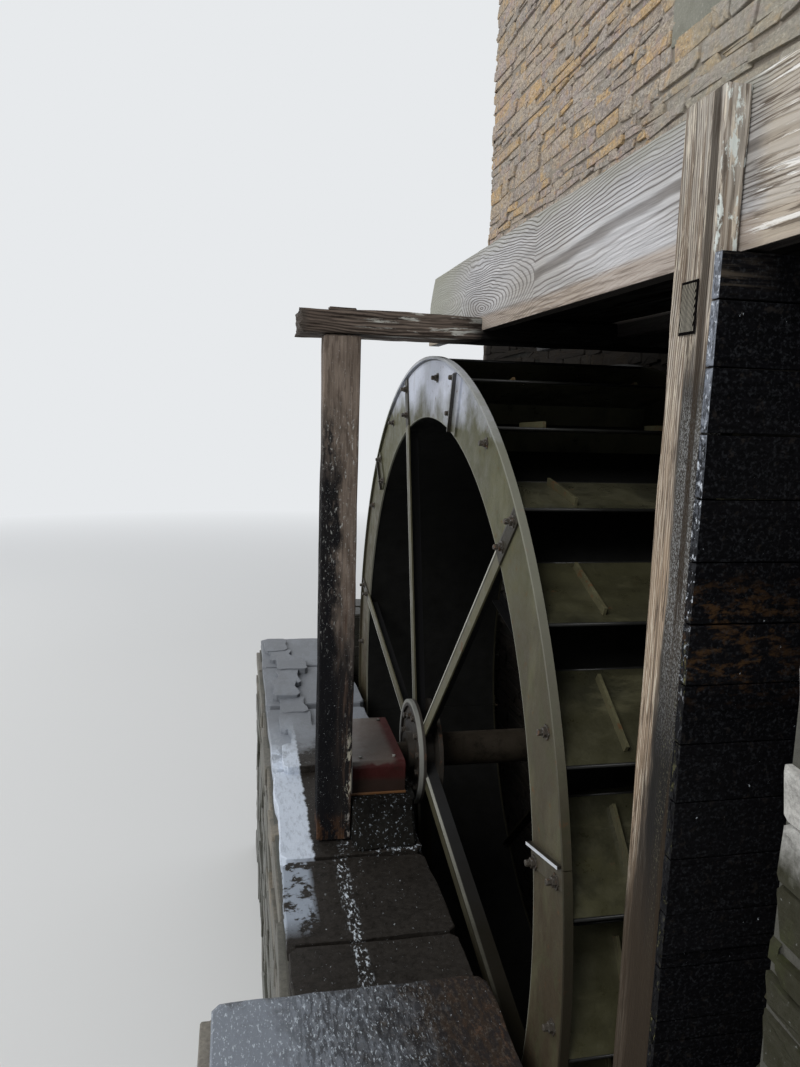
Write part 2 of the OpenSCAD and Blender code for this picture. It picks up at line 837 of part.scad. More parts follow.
module door_leaf() {
    color([0.20, 0.32, 0.28]) on_far_gable()
        translate([-door_w / 2 + frame_w + leaf_gap, floor_h, frame_set + 10])
            cube([door_w - 2 * frame_w - 2 * leaf_gap, door_h - frame_w - leaf_gap, leaf_t]);
}

// One slope of the roof, from the eaves to the ridge line
module roof_slope() {
    run = half_w + eaves_out;
    drop = eaves_out * tan(roof_pitch);
    rise = roof_t / cos(roof_pitch);
    translate([wall_face_x, 0, roof_bed]) stand_across() linear_extrude(mill_l) polygon([
        [-run, eaves_h - drop], [0, eaves_h + roof_rise], [0, eaves_h + roof_rise + rise],
        [-run, eaves_h - drop + rise]
    ]);
}

module roof_slope_near() {
    color([0.36, 0.36, 0.36]) roof_slope();
}

module roof_slope_far() {
    color([0.36, 0.36, 0.36]) mirror([0, 1, 0]) roof_slope();
}

roof_top = eaves_h + roof_rise + roof_t / cos(roof_pitch);
// A band that lies on the roof, from the given distance out to the ridge
module roof_band(run, t, x, w) {
    up = t / cos(roof_pitch);
    foot = roof_top - run * tan(roof_pitch);
    translate([x, 0, 2 * roof_bed]) stand_across() linear_extrude(w)
        polygon([
            [-run, foot], [0, roof_top], [run, foot],
            [run, foot + up], [0, roof_top + up], [-run, foot + up]
        ]);
}

module roof_ridge() {
    color([0.44, 0.42, 0.39])
        roof_band(ridge_leg * cos(roof_pitch), ridge_t, wall_face_x + skew_w, mill_l - 2 * skew_w);
}

module gable_skews() {
    color([0.50, 0.47, 0.42]) for (x = [wall_face_x, far_gable_x - skew_w])
        roof_band(half_w + eaves_out, skew_t, x, skew_w);
}

module ground_floor() {
    color([0.40, 0.39, 0.37])
        block([wall_t / 2, -half_w + wall_t, 0], [far_gable_x - wall_t, half_w - wall_t, floor_h]);
}

module upper_floor() {
    color([0.45, 0.36, 0.26])
        block([wall_t / 2, -half_w + wall_t, upper_h - upper_t],
              [far_gable_x - wall_t, half_w - wall_t, upper_h]);
}

axle();
outer_hub();
inner_hub();
outer_spokes();
inner_spokes();
outer_ring();
inner_ring();
splice_straps();
wheel_sole();
bucket_risers();
bucket_faces();
bucket_ribs();
bearing_box();
wall_bearing();
bearing_plinth();
outer_pit_wall();
platform_slabs();
pit_end_wall();
near_pier();
outer_post();
cross_beam();
launder_posts();
launder_beams();
wall_batten();
splash_boards();
launder_outer_board();
launder_inner_board();
launder_floor();
launder_ties();
wheel_gable();
far_gable();
near_side_wall();
far_side_wall();
stone_lintels();
window_sills();
window_frames();
window_glass();
door_frame();
door_leaf();
roof_slope_near();
roof_slope_far();
roof_ridge();
gable_skews();
ground_floor();
upper_floor();
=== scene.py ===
"""Looks of the stone watermill: masonry, slates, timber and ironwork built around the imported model."""

import json
import logging
import math
from dataclasses import dataclass
from enum import Enum
from typing import Any, Callable, Iterable, Sequence

import bpy
import numpy as np
from mathutils import Matrix
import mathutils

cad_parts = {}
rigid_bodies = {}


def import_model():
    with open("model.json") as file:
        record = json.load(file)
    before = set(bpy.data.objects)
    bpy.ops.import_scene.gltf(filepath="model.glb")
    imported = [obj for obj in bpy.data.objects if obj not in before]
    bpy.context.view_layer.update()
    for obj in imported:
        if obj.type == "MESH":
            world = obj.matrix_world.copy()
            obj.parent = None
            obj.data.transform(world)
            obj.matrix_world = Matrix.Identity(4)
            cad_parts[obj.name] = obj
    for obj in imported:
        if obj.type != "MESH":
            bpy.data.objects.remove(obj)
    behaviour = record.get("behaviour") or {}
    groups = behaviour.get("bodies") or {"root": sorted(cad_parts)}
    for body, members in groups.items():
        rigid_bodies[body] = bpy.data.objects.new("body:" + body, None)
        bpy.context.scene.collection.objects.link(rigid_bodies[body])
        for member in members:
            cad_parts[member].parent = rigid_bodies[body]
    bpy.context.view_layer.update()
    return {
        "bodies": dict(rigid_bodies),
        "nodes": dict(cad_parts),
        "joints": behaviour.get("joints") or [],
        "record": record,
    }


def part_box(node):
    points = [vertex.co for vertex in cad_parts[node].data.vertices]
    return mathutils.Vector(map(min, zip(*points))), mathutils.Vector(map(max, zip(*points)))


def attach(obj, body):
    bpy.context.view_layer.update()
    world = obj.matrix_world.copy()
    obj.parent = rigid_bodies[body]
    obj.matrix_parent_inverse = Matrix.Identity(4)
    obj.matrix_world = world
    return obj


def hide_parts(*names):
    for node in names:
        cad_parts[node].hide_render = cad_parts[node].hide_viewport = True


LOG = logging.getLogger("watermill")
HUB_Z = 1.65
FIRST_SPOKE = 14.0
SPOKES = 6
TABLE_SIZE = 4096
LATTICE_KEYS = (73856093, 19349663, 83492791)
MIDDLE_TONE = 0.5
BLOCK_SIDES = 8
BLOCK_POINTS = 3 * BLOCK_SIDES + 1
Array = np.ndarray
Colour = tuple[float, float, float]
Vector = tuple[float, float, float]
Rectangle = tuple[float, float, float, float]
Span = tuple[str, float, float]
Spans = tuple[Span, ...]


class Body(str, Enum):
    """The two bodies of the mill that move against each other."""

    MILL = "mill"
    WHEEL = "wheel"


# Shapes as whole arrays


def value_noise(points: Array, cell: float, seed: int) -> Array:
    """Smooth random field: a random value at each corner of a cubic lattice, blended by smooth steps.

    Args:
        points: Places in metres, with x, y and z in the last axis.
        cell: Size of a lattice cell in metres.
        seed: Number that picks the random values.

    Returns:
        One value from -1 to 1 for each point.
    """
    table = np.random.default_rng(seed).random(TABLE_SIZE) * 2 - 1
    q = np.asarray(points, float) / cell
    low = np.floor(q).astype(np.int64)
    f = q - low
    f = f * f * (3 - 2 * f)
    total = np.zeros(q.shape[:-1])
    for corner in np.ndindex(2, 2, 2):
        step = np.array(corner)
        key = (low + step) * np.array(LATTICE_KEYS)
        weight = np.prod(np.where(step, f, 1 - f), axis=-1)
        total += weight * table[(key[..., 0] ^ key[..., 1] ^ key[..., 2]) % TABLE_SIZE]
    return total


def rough_noise(points: Array, cell: float, seed: int, octaves: int = 3) -> Array:
    """Several smooth random fields added, each half as wide and half as strong as the last.

    Args:
        points: Places in metres.
        cell: Cell of the widest field in metres.
        seed: Number that picks the random values.
        octaves: How many fields are added.

    Returns:
        One value of about -1 to 1 for each point.
    """
    fields = [value_noise(points, cell / 2**k, seed + k) / 2**k for k in range(octaves)]
    return np.sum(fields, axis=0) / (2 - 0.5 ** (octaves - 1))


def unit(vector: Array) -> Array:
    """The same directions with length one."""
    return vector / np.maximum(np.linalg.norm(vector, axis=-1, keepdims=True), 1e-12)


@dataclass
class Solid:
    """A mesh in the making: its points, its faces by corner count, and a tone for each point."""

    points: Array
    faces: list[Array]
    tone: Array | None = None

    def moved(self, by: Sequence[float]) -> "Solid":
        """The same solid shifted by a vector."""
        return Solid(self.points + np.asarray(by, float), self.faces, self.tone)

    def mirrored_x(self, plane: float) -> "Solid":
        """The same solid mirrored at a plane across X, with its faces turned outwards again."""
        points = self.points * np.array([-1, 1, 1]) + np.array([2 * plane, 0, 0])
        return Solid(points, [f[:, ::-1] for f in self.faces], self.tone)


def together(solids: Iterable[Solid]) -> Solid:
    """Joins solids into one mesh.

    Args:
        solids: The solids, each with or without a tone.

    Returns:
        One solid that holds them all.
    """
    points, tones, faces, start = [], [], [], 0
    for s in solids:
        points.append(s.points.reshape(-1, 3))
        count = len(points[-1])
        tones.append(np.full(count, MIDDLE_TONE) if s.tone is None else s.tone)
        faces += [f + start for f in s.faces if len(f)]
        start += count
    return Solid(np.concatenate(points), faces, np.concatenate(tones))


def grid_faces(rows: int, columns: int, closed: bool) -> Array:
    """Quads between neighbouring rows of a grid, whose columns may close into a loop.

    Args:
        rows: Number of rows of points.
        columns: Number of points in a row.
        closed: Whether the last column joins the first.

    Returns:
        The quads as point numbers.
    """
    r = np.arange(rows - 1)[:, None] * columns
    c = np.arange(columns if closed else columns - 1)[None, :]
    d = (c + 1) % columns
    return np.stack([r + c, r + d, r + columns + d, r + columns + c], -1).reshape(-1, 4)


def loft(rings: Array) -> Solid:
    """A closed profile carried along a path: ring i joins ring i + 1, and fans close both ends.

    Args:
        rings: Points as rings by corners by 3, each ring running anticlockwise about the way ahead.

    Returns:
        The closed solid.
    """
    n, m = rings.shape[:2]
    ends = np.stack([rings[0].mean(0), rings[-1].mean(0)])
    k = np.arange(m)
    after = (k + 1) % m
    first = np.stack([after, k, np.full(m, n * m)], -1)
    last = np.stack([(n - 1) * m + k, (n - 1) * m + after, np.full(m, n * m + 1)], -1)
    points = np.concatenate([rings.reshape(-1, 3), ends])
    return Solid(points, [grid_faces(n, m, True), np.concatenate([first, last])])


def rounded_outline(w: float, h: float, r: float, steps: int, across: int) -> Array:
    """Outline of a rectangle with quarter-round corners, and points along its sides.

    Args:
        w: Width.
        h: Height.
        r: Radius of the corners.
        steps: Points on each corner.
        across: Points added along each side.

    Returns:
        Points about the centre, running anticlockwise.
    """
    r = min(r, w / 2.001, h / 2.001)
    runs = []
    for k, (sx, sy) in enumerate([(1, -1), (1, 1), (-1, 1), (-1, -1)]):
        a = math.pi / 2 * (k - 1) + np.linspace(0, math.pi / 2, steps)
        centre = np.array([sx * (w / 2 - r), sy * (h / 2 - r)])
        runs.append(centre + r * np.stack([np.cos(a), np.sin(a)], -1))
    out = []
    for k in range(4):
        a, b = runs[k][-1], runs[(k + 1) % 4][0]
        t = np.linspace(0, 1, across + 2)[1:-1, None]
        out += [runs[k], a + (b - a) * t]
    return np.concatenate(out)


@dataclass
class Plank:
    """A sawn timber between two corners, with eased edges and a weathered surface."""

    low: tuple[float, float, float]
    high: tuple[float, float, float]
    along: int = 1
    ease: float = 0.004
    wear: float = 0.0015
    step: float = 0.05
    seed: int = 1
    grain: float = 0.025
    drawn_out: float = 0.15
    side_step: float = 0.03

    def solid(self) -> Solid:
        """Carries a rounded rectangle along the timber; each point moves in and out by rough noise.

        Returns:
            The closed timber, never larger than its corners by more than its wear.
        """
        low, high = np.array(self.low, float), np.array(self.high, float)
        u, v = (self.along + 1) % 3, (self.along + 2) % 3
        size = high - low
        across = max(1, int(max(size[u], size[v]) / self.side_step))
        outline = rounded_outline(size[u], size[v], self.ease, 3, min(across, 8))
        n = max(2, int(size[self.along] / self.step) + 1)
        t = np.concatenate([[0, self.ease / size[self.along]],
                            np.linspace(0, 1, n)[1:-1], [1 - self.ease / size[self.along], 1]])
        t = np.unique(np.clip(t, 0, 1))
        shrink = np.ones(len(t))
        shrink[[0, -1]] = 1 - 2 * self.ease / max(min(size[u], size[v]), 0.01)
        rings = np.zeros((len(t), len(outline), 3))
        centre = (low + high) / 2
        rings[..., self.along] = (low[self.along] + t * size[self.along])[:, None]
        rings[..., u] = centre[u] + outline[None, :, 0] * shrink[:, None]
        rings[..., v] = centre[v] + outline[None, :, 1] * shrink[:, None]
        stretch = np.ones(3)
        stretch[self.along] = self.drawn_out
        out = np.zeros_like(rings)
        out[..., u], out[..., v] = np.sign(outline[:, 0]), np.sign(outline[:, 1])
        depth = rough_noise(rings * stretch, self.grain, self.seed) - 0.6
        rings += unit(out) * (depth * self.wear)[..., None]
        return loft(rings)


def brick(low: Sequence[float], high: Sequence[float]) -> Solid:
    """A plain block between two corners, used for small pieces with a bevel."""
    lo, hi = np.asarray(low, float), np.asarray(high, float)
    corners = np.array([[x, y, z] for z in (0, 1) for y in (0, 1) for x in (0, 1)], float)
    level = [[0, 2, 3, 1], [4, 5, 7, 6]]
    upright = [[0, 1, 5, 4], [2, 6, 7, 3], [0, 4, 6, 2], [1, 3, 7, 5]]
    return Solid(lo + corners * (hi - lo), [np.array(level + upright)])


def turned(profile: Array, axis: int, centre: Sequence[float], sides: int) -> Solid:
    """A turned piece: each profile point runs round an axis, at angle a to (along, r cos a, r sin a).

    Args:
        profile: Distance along the axis and radius, from one closed end to the other.
        axis: 0, 1 or 2 for an axis along X, Y or Z.
        centre: A point on the axis, where the distance along is zero.
        sides: Number of steps round.

    Returns:
        The closed piece.
    """
    a = np.arange(sides) * 2 * math.pi / sides
    rings = np.zeros((len(profile), sides, 3))
    rings[..., axis] = profile[:, :1]
    rings[..., (axis + 1) % 3] = profile[:, 1:] * np.cos(a)
    rings[..., (axis + 2) % 3] = profile[:, 1:] * np.sin(a)
    return loft(rings + np.asarray(centre, float))


def copies(solid: Solid, places: Array) -> Solid:
    """The same small piece at many places, as one mesh.

    Args:
        solid: The piece about its own origin.
        places: One vector for each copy.

    Returns:
        All copies in one solid.
    """
    n, m = len(places), len(solid.points)
    points = (solid.points[None] + np.asarray(places, float)[:, None]).reshape(-1, 3)
    shift = (np.arange(n) * m)[:, None, None]
    faces = [(f[None] + shift).reshape(-1, f.shape[1]) for f in solid.faces]
    return Solid(points, faces, np.full(n * m, MIDDLE_TONE))


def bolt_head(radius: float, height: float, sides: int = 6) -> Solid:
    """A bolt's head and washer that points along -X from the origin."""
    washer = radius * 1.5
    head = [[-height - 0.001, radius * 0.8], [-height, radius], [-0.003, radius]]
    return turned(np.array([*head, [-0.003, washer], [0.002, washer]]), 0, (0, 0, 0), sides)


# Finishes


class Nodes:
    """Short way to write a material's nodes and the links between them."""

    def __init__(self, name: str) -> None:
        """Starts an empty material with a surface shader that reads object coordinates."""
        self.material = bpy.data.materials.new(name)
        self.material.use_nodes = True
        self.tree = self.material.node_tree
        self.tree.nodes.clear()
        self.shader = self.add("ShaderNodeBsdfPrincipled")
        output = self.add("ShaderNodeOutputMaterial")
        self.link(self.shader.outputs[0], output.inputs[0])
        self.place = self.add("ShaderNodeTexCoord").outputs["Object"]

    def add(self, kind: str, **settings: Any) -> Any:
        """A new node with its settings."""
        node = self.tree.nodes.new(kind)
        for key, value in settings.items():
            setattr(node, key, value)
        return node

    def link(self, source: Any, target: Any) -> None:
        """Joins an output to an input, or sets the input to a plain value."""
        if isinstance(source, bpy.types.NodeSocket):
            self.tree.links.new(source, target)
        else:
            target.default_value = source

    def stretched(self, scale: Sequence[float]) -> Any:
        """Object coordinates scaled by a vector, so that a pattern runs longer one way."""
        node = self.add("ShaderNodeMapping")
        self.link(self.place, node.inputs["Vector"])
        node.inputs["Scale"].default_value = scale
        return node.outputs[0]

    def noise(self, scale: float, detail: float = 4, rough: float = 0.55, twist: float = 0.0,
              vector: Any = None) -> Any:
        """A noise pattern.

        Args:
            scale: Cells in a metre.
            detail: Number of finer fields.
            rough: How strong the finer fields are.
            twist: How far the pattern is bent by itself.
            vector: Coordinates; those of the object if left out.

        Returns:
            The output with a value from 0 to 1.
        """
        node = self.add("ShaderNodeTexNoise")
        self.link(vector or self.place, node.inputs["Vector"])
        values = {"Scale": scale, "Detail": detail, "Roughness": rough, "Distortion": twist}
        for key, value in values.items():
            node.inputs[key].default_value = value
        return node.outputs["Fac"]

    def ramp(self, value: Any, stops: Sequence[tuple[float, Any]]) -> Any:
        """Turns a value into a colour or grey by stops.

        Args:
            value: Output to read.
            stops: Pairs of position and colour or grey.

        Returns:
            The colour output.
        """
        node = self.add("ShaderNodeValToRGB")
        band = node.color_ramp
        while len(band.elements) < len(stops):
            band.elements.new(0.5)
        for element, (position, colour) in zip(band.elements, sorted(stops, key=lambda s: s[0])):
            element.position = position
            rgb = (colour, colour, colour) if isinstance(colour, (int, float)) else colour
            element.color = (*rgb, 1)
        self.link(value, node.inputs[0])
        return node.outputs[0]

    def math(self, operation: str, a: Any, b: Any = 0.0, clamp: bool = False) -> Any:
        """One sum on two values."""
        node = self.add("ShaderNodeMath", operation=operation, use_clamp=clamp)
        self.link(a, node.inputs[0])
        self.link(b, node.inputs[1])
        return node.outputs[0]

    def mix(self, share: Any, a: Any, b: Any, blend: str = "MIX") -> Any:
        """Blends two colours by a share."""
        node = self.add("ShaderNodeMix", data_type="RGBA", blend_type=blend)
        self.link(share, node.inputs[0])
        for value, socket in ((a, node.inputs[6]), (b, node.inputs[7])):
            self.link((*value, 1) if isinstance(value, tuple) else value, socket)
        return node.outputs[2]

    def part(self, axis: str) -> Any:
        """One object coordinate, X, Y or Z."""
        node = self.add("ShaderNodeSeparateXYZ")
        self.link(self.place, node.inputs[0])
        return node.outputs[axis]

    def between(self, value: Any, low: float, high: float,
                to_low: float = 0.0, to_high: float = 1.0) -> Any:
        """Maps a span of values to another, clamped at its ends."""
        node = self.add("ShaderNodeMapRange")
        self.link(value, node.inputs[0])
        for k, number in enumerate((low, high, to_low, to_high)):
            node.inputs[k + 1].default_value = number
        return node.outputs[0]

    def on_wheel(self) -> tuple[Any, Any]:
        """Distance from the axle, and offset from the nearest spoke's middle line.

        The angle about the axle is folded into the share of a turn that belongs to one spoke, and
        the offset is the distance times the sine of what is left.
        """
        y, z = self.part("Y"), self.math("SUBTRACT", self.part("Z"), HUB_Z)
        square = self.math("ADD", self.math("MULTIPLY", y, y), self.math("MULTIPLY", z, z))
        radius = self.math("SQRT", square)
        half = math.pi / SPOKES
        turn = self.math("SUBTRACT", self.math("ARCTAN2", z, y), math.radians(FIRST_SPOKE) - half)
        left = self.math("SUBTRACT", self.math("FLOORED_MODULO", turn, 2 * half), half)
        return radius, self.math("MULTIPLY", radius, self.math("SINE", left))

    def tone(self) -> Any:
        """The tone that each stone, slate or board carries in its mesh."""
        return self.add("ShaderNodeAttribute", attribute_name="tone").outputs["Fac"]

    def bump(self, height: Any, depth: float, strength: float) -> Any:
        """A bump of some depth in metres."""
        node = self.add("ShaderNodeBump")
        node.inputs["Strength"].default_value = strength
        node.inputs["Distance"].default_value = depth
        self.link(height, node.inputs["Height"])
        return node.outputs[0]

    def finish(self, colour: Any, rough: Any, normal: Any = None, metal: float = 0.0,
               coat: float = 0.0, shine: float = 0.5) -> bpy.types.Material:
        """Sets the shader's colour, roughness and normal.

        Args:
            colour: Colour output or plain colour.
            rough: Roughness output or number.
            normal: Bump output, if any.
            metal: How metallic the surface is.
            coat: Strength of a wet film.
            shine: Level of the plain reflection, which fades where the colour is near black, as on soaked
                timber and on painted shade.

        Returns:
            The finished material.
        """
        s = self.shader.inputs
        self.link((*colour, 1) if isinstance(colour, tuple) else colour, s["Base Color"])
        self.link(rough, s["Roughness"])
        if normal is not None:
            self.link(normal, s["Normal"])
        for key, value in (("Metallic", metal), ("Coat Weight", coat), ("Coat Roughness", 0.12)):
            s[key].default_value = value
        level = shine if isinstance(colour, tuple) else self.between(colour, 0.004, 0.045, 0.0, shine)
        self.link(level, s["Specular IOR Level"])
        return self.material


def kept(n: Nodes, share: Any, spans: Spans, wander: Any = None) -> Any:
    """Keeps a share to the places that lie past the start of every span.

    Args:
        n: The material's nodes.
        share: The share so far.
        spans: Each an axis, where the share starts to grow, and where it is whole.
        wander: What is added to a place to make an edge ragged.

    Returns:
        The share, less outside the spans.
    """
    for axis, start, full in spans:
        place = n.part(axis)
        if wander is not None:
            place = n.math("ADD", place, n.math("MULTIPLY", wander, 0.5))
        share = n.math("MULTIPLY", share, n.between(place, start, full))
    return share


def laid(n: Nodes, colour: Any, rough: Any, share: Any, over: Colour, added: float) -> tuple[Any, Any]:
    """Blends a coat into a colour and a roughness.

    Args:
        n: The material's nodes.
        colour: The colour so far.
        rough: The roughness so far.
        share: How much of the coat shows.
        over: The coat's colour.
        added: What the coat adds to the roughness.

    Returns:
        The new colour and roughness.
    """
    return n.mix(share, colour, over), n.math("ADD", rough, n.math("MULTIPLY", share, added), True)


@dataclass(frozen=True)
class Tint:
    """A change of colour along one axis, such as damp near the foot, painted shade or a painted reflection,
    with a ragged edge.

    The share of the colour grows from nothing at start to whole at full, and only the places
    past every span of only take it.
    """

    axis: str
    start: float
    full: float
    colour: Colour
    share: float = 0.85
    ragged: float = 0.1
    rough: float = 0.0
    stretch: Vector = (1.0, 1.0, 1.0)
    only: Spans = ()
    scale: float = 5.0

    def lay(self, n: Nodes, colour: Any, rough: Any) -> tuple[Any, Any]:
        """Lays the tint over a colour and a roughness and returns both."""
        edge = n.noise(self.scale, 5, 0.65, 0.0, n.stretched(self.stretch))
        wander = n.between(edge, 0.28, 0.72, -self.ragged, self.ragged)
        share = n.between(n.math("ADD", n.part(self.axis), wander), self.start, self.full, 0.0, self.share)
        share = kept(n, share, self.only, wander)
        return laid(n, colour, rough, share, self.colour, self.rough)


@dataclass(frozen=True)
class Patch:
    """Scattered spots of a colour, such as rust, peeling paint, or painted glints and sheen on a film of
    water.
    """

    scale: float
    low: float
    high: float
    colour: Colour
    share: float = 0.85
    rough: float = 0.0
    stretch: Vector = (1.0, 1.0, 1.0)
    only: Spans = ()

    def lay(self, n: Nodes, colour: Any, rough: Any) -> tuple[Any, Any]:
        """Lays the patches over a colour and a roughness and returns both."""
        spots = n.noise(self.scale, 6, 0.68, 0.25, n.stretched(self.stretch))
        share = kept(n, n.between(spots, self.low, self.high, 0.0, self.share), self.only)
        return laid(n, colour, rough, share, self.colour, self.rough)


@dataclass(frozen=True)
class Stripe:
    """A line of colour on the wheel: round the axle at some distance, or along every spoke."""

    low: float
    high: float
    colour: Colour
    share: float = 0.8
    soft: float = 0.0015
    along: bool = False
    only: Spans = ()

    def lay(self, n: Nodes, colour: Any, rough: Any) -> tuple[Any, Any]:
        """Lays the line over a colour and returns it with the roughness."""
        place = n.on_wheel()[1 if self.along else 0]
        rise = n.between(place, self.low - self.soft, self.low + self.soft)
        fall = n.between(place, self.high + self.soft, self.high - self.soft, 0.0, self.share)
        share = kept(n, n.math("MULTIPLY", rise, fall), self.only)
        return n.mix(share, colour, self.colour), rough


Coats = tuple["Tint | Patch | Stripe", ...]


@dataclass(frozen=True)
class Stone:
    """Split stone whose colour changes from block to block, with grit and strata."""

    name: str
    colours: tuple[Colour, ...]
    grit: float = 0.0012
    rough: float = 0.85
    coats: Coats = ()
    shine: float = 0.4
    blotch: Colour = (0.30, 0.29, 0.26)

    def build(self) -> bpy.types.Material:
        """Colour by the stone's tone, mottled by noise in three scales."""
        n = Nodes(self.name)
        pick = n.math("ADD", n.tone(), n.between(n.noise(11, 5, 0.65), 0.2, 0.8, -0.16, 0.16), True)
        last = max(len(self.colours) - 1, 1)
        colour = n.ramp(pick, [(k / last, c) for k, c in enumerate(self.colours)])
        fine, blot = n.noise(55, 8, 0.78), n.noise(2.2, 4, 0.6)
        colour = n.mix(0.8, colour, n.ramp(fine, [(0.34, 0.28), (0.62, 1.22)]), "MULTIPLY")
        colour = n.mix(n.between(blot, 0.35, 0.75, 0.0, 0.4), colour, self.blotch)
        rough: Any = n.between(fine, 0.3, 0.7, self.rough - 0.1, self.rough + 0.1)
        for layer in self.coats:
            colour, rough = layer.lay(n, colour, rough)
        strata = n.noise(30, 4, 0.65, 0.2, n.stretched((0.35, 0.35, 3.0)))
        height = n.math("ADD", strata, n.math("MULTIPLY", fine, 1.2))
        return n.finish(colour, rough, n.bump(height, self.grit, 0.9), shine=self.shine)


@dataclass(frozen=True)
class Mortar:
    """Rough lime or cement mortar, or plain paint on a smooth ground."""

    name: str
    colour: Colour
    stain: Colour = (0.16, 0.16, 0.13)
    depth: float = 0.004
    rough: float = 0.92
    coats: Coats = ()

    def build(self) -> bpy.types.Material:
        """Noise in two scales over one colour, with stains."""
        n = Nodes(self.name)
        wide, fine = n.noise(3.5, 5, 0.6), n.noise(110, 5, 0.75)
        colour = n.mix(n.between(wide, 0.4, 0.75, 0.0, 0.8), self.colour, self.stain)
        colour = n.mix(0.5, colour, n.ramp(fine, [(0.3, 0.45), (0.7, 1.0)]), "MULTIPLY")
        rough: Any = n.between(wide, 0.3, 0.8, self.rough, self.rough - 0.3)
        for layer in self.coats:
            colour, rough = layer.lay(n, colour, rough)
        return n.finish(colour, rough, n.bump(fine, self.depth, 0.8), shine=0.35)


class Grain(Enum):
    """Which way a timber's grain runs: the axis along it and the one across its broad face."""

    ALONG_X = ("X", "Z")
    ALONG_Y = ("Y", "Z")
    ALONG_Z = ("Z", "Y")

    def stretch(self, amount: float) -> tuple[float, float, float]:
        """Scales of the coordinates that draw a pattern out along the grain."""
        return tuple(amount if axis == self.value[0] else 1.0 for axis in "XYZ")


@dataclass(frozen=True)
class Timber:
    """Weathered timber with worn growth rings, fibres, cracks and eyes round its knots.

    A ring is a level line of the distance to the tree's core. The core dips into the face at each
    eye, which reads as its place along the grain, its place across, its length and its depth.
    """

    name: str
    grain: Grain
    pale: Colour
    dark: Colour
    other: Colour
    rings: float = 70.0
    eyes: tuple[tuple[float, float, float, float], ...] = ()
    coats: Coats = ()
    rough: float = 0.8
    ridge: float = 0.0012
    shine: float = 0.35
    contrast: float = 1.0
    line: tuple[float, float] = (0.62, 0.12)
    fibre: tuple[float, float] = (95.0, 0.03)
    cracked: float = 0.85

    def drawn(self, n: Nodes, scale: float, detail: float, rough: float,
              amount: float, twist: float = 0.0) -> Any:
        """A noise pattern drawn out along the grain.

        Args:
            n: The material's nodes.
            scale: Cells in a metre across the grain.
            detail: Number of finer fields.
            rough: How strong the finer fields are.
            amount: Scale along the grain as a share of that across it.
            twist: How far the pattern is bent by itself.

        Returns:
            The output with a value from 0 to 1.
        """
        return n.noise(scale, detail, rough, twist, n.stretched(self.grain.stretch(amount)))

    def core(self, n: Nodes) -> Any:
        """Distance to the core: the root of across squared and the core's depth squared, bent by noise."""
        along, across = (n.part(axis) for axis in self.grain.value)
        warp = n.between(self.drawn(n, 2.2, 3, 0.5, 0.22), 0.2, 0.8, -0.07, 0.07)
        waver = n.between(self.drawn(n, 8.0, 3, 0.6, 0.3), 0.2, 0.8, -0.011, 0.011)
        across = n.math("ADD", n.math("ADD", across, warp), waver)
        if not self.eyes:
            return across
        found = None
        for at, height, length, depth in self.eyes:
            off = n.math("SUBTRACT", across, height)
            rise = n.between(n.math("ABSOLUTE", n.math("SUBTRACT", along, at)), 0.0, length, 0.0, depth)
            squares = n.math("ADD", n.math("MULTIPLY", off, off), n.math("MULTIPLY", rise, rise))
            distance = n.math("SQRT", squares)
            found = distance if found is None else n.math("MINIMUM", found, distance)
        return found

    def build(self) -> bpy.types.Material:
        """Rings and fibres over two pale colours, then the coats, and cracks through them all."""
        n = Nodes(self.name)
        wave = n.math("FRACT", n.math("MULTIPLY", self.core(n), self.rings))
        ring = n.math("MULTIPLY", n.math("ABSOLUTE", n.math("SUBTRACT", wave, 0.5)), 2.0)
        fibre = self.drawn(n, self.fibre[0], 5, 0.7, self.fibre[1])
        wide = self.drawn(n, 2.6, 4, 0.6, 0.5, 0.2)
        strong = n.between(self.drawn(n, 3.1, 3, 0.5, 0.3), 0.35, 0.62, 0.25 * self.contrast, self.contrast)
        colour = n.mix(n.between(wide, 0.36, 0.66), self.pale, self.other)
        groove = n.math("MULTIPLY", n.between(ring, *self.line), strong)
        colour = n.mix(groove, colour, self.dark)
        colour = n.mix(0.7, colour, n.ramp(fibre, [(0.30, 0.35), (0.66, 1.12)]), "MULTIPLY")
        colour = n.mix(0.35, colour, n.ramp(n.tone(), [(0.0, 0.5), (1.0, 1.0)]), "MULTIPLY")
        rough: Any = n.between(fibre, 0.3, 0.7, self.rough - 0.12, self.rough + 0.1)
        for layer in self.coats:
            colour, rough = layer.lay(n, colour, rough)
        gap = n.between(self.drawn(n, 26, 2, 0.5, 0.02, 0.2), 0.33, 0.29)
        colour = n.mix(n.math("MULTIPLY", gap, self.cracked), colour, tuple(c * 0.3 for c in self.dark))
        height = n.math("SUBTRACT", n.math("MULTIPLY", fibre, 0.8), n.math("MULTIPLY", groove, 0.9))
        height = n.math("SUBTRACT", height, n.math("MULTIPLY", gap, 1.2))
        return n.finish(colour, rough, n.bump(height, self.ridge, 0.8), shine=self.shine)


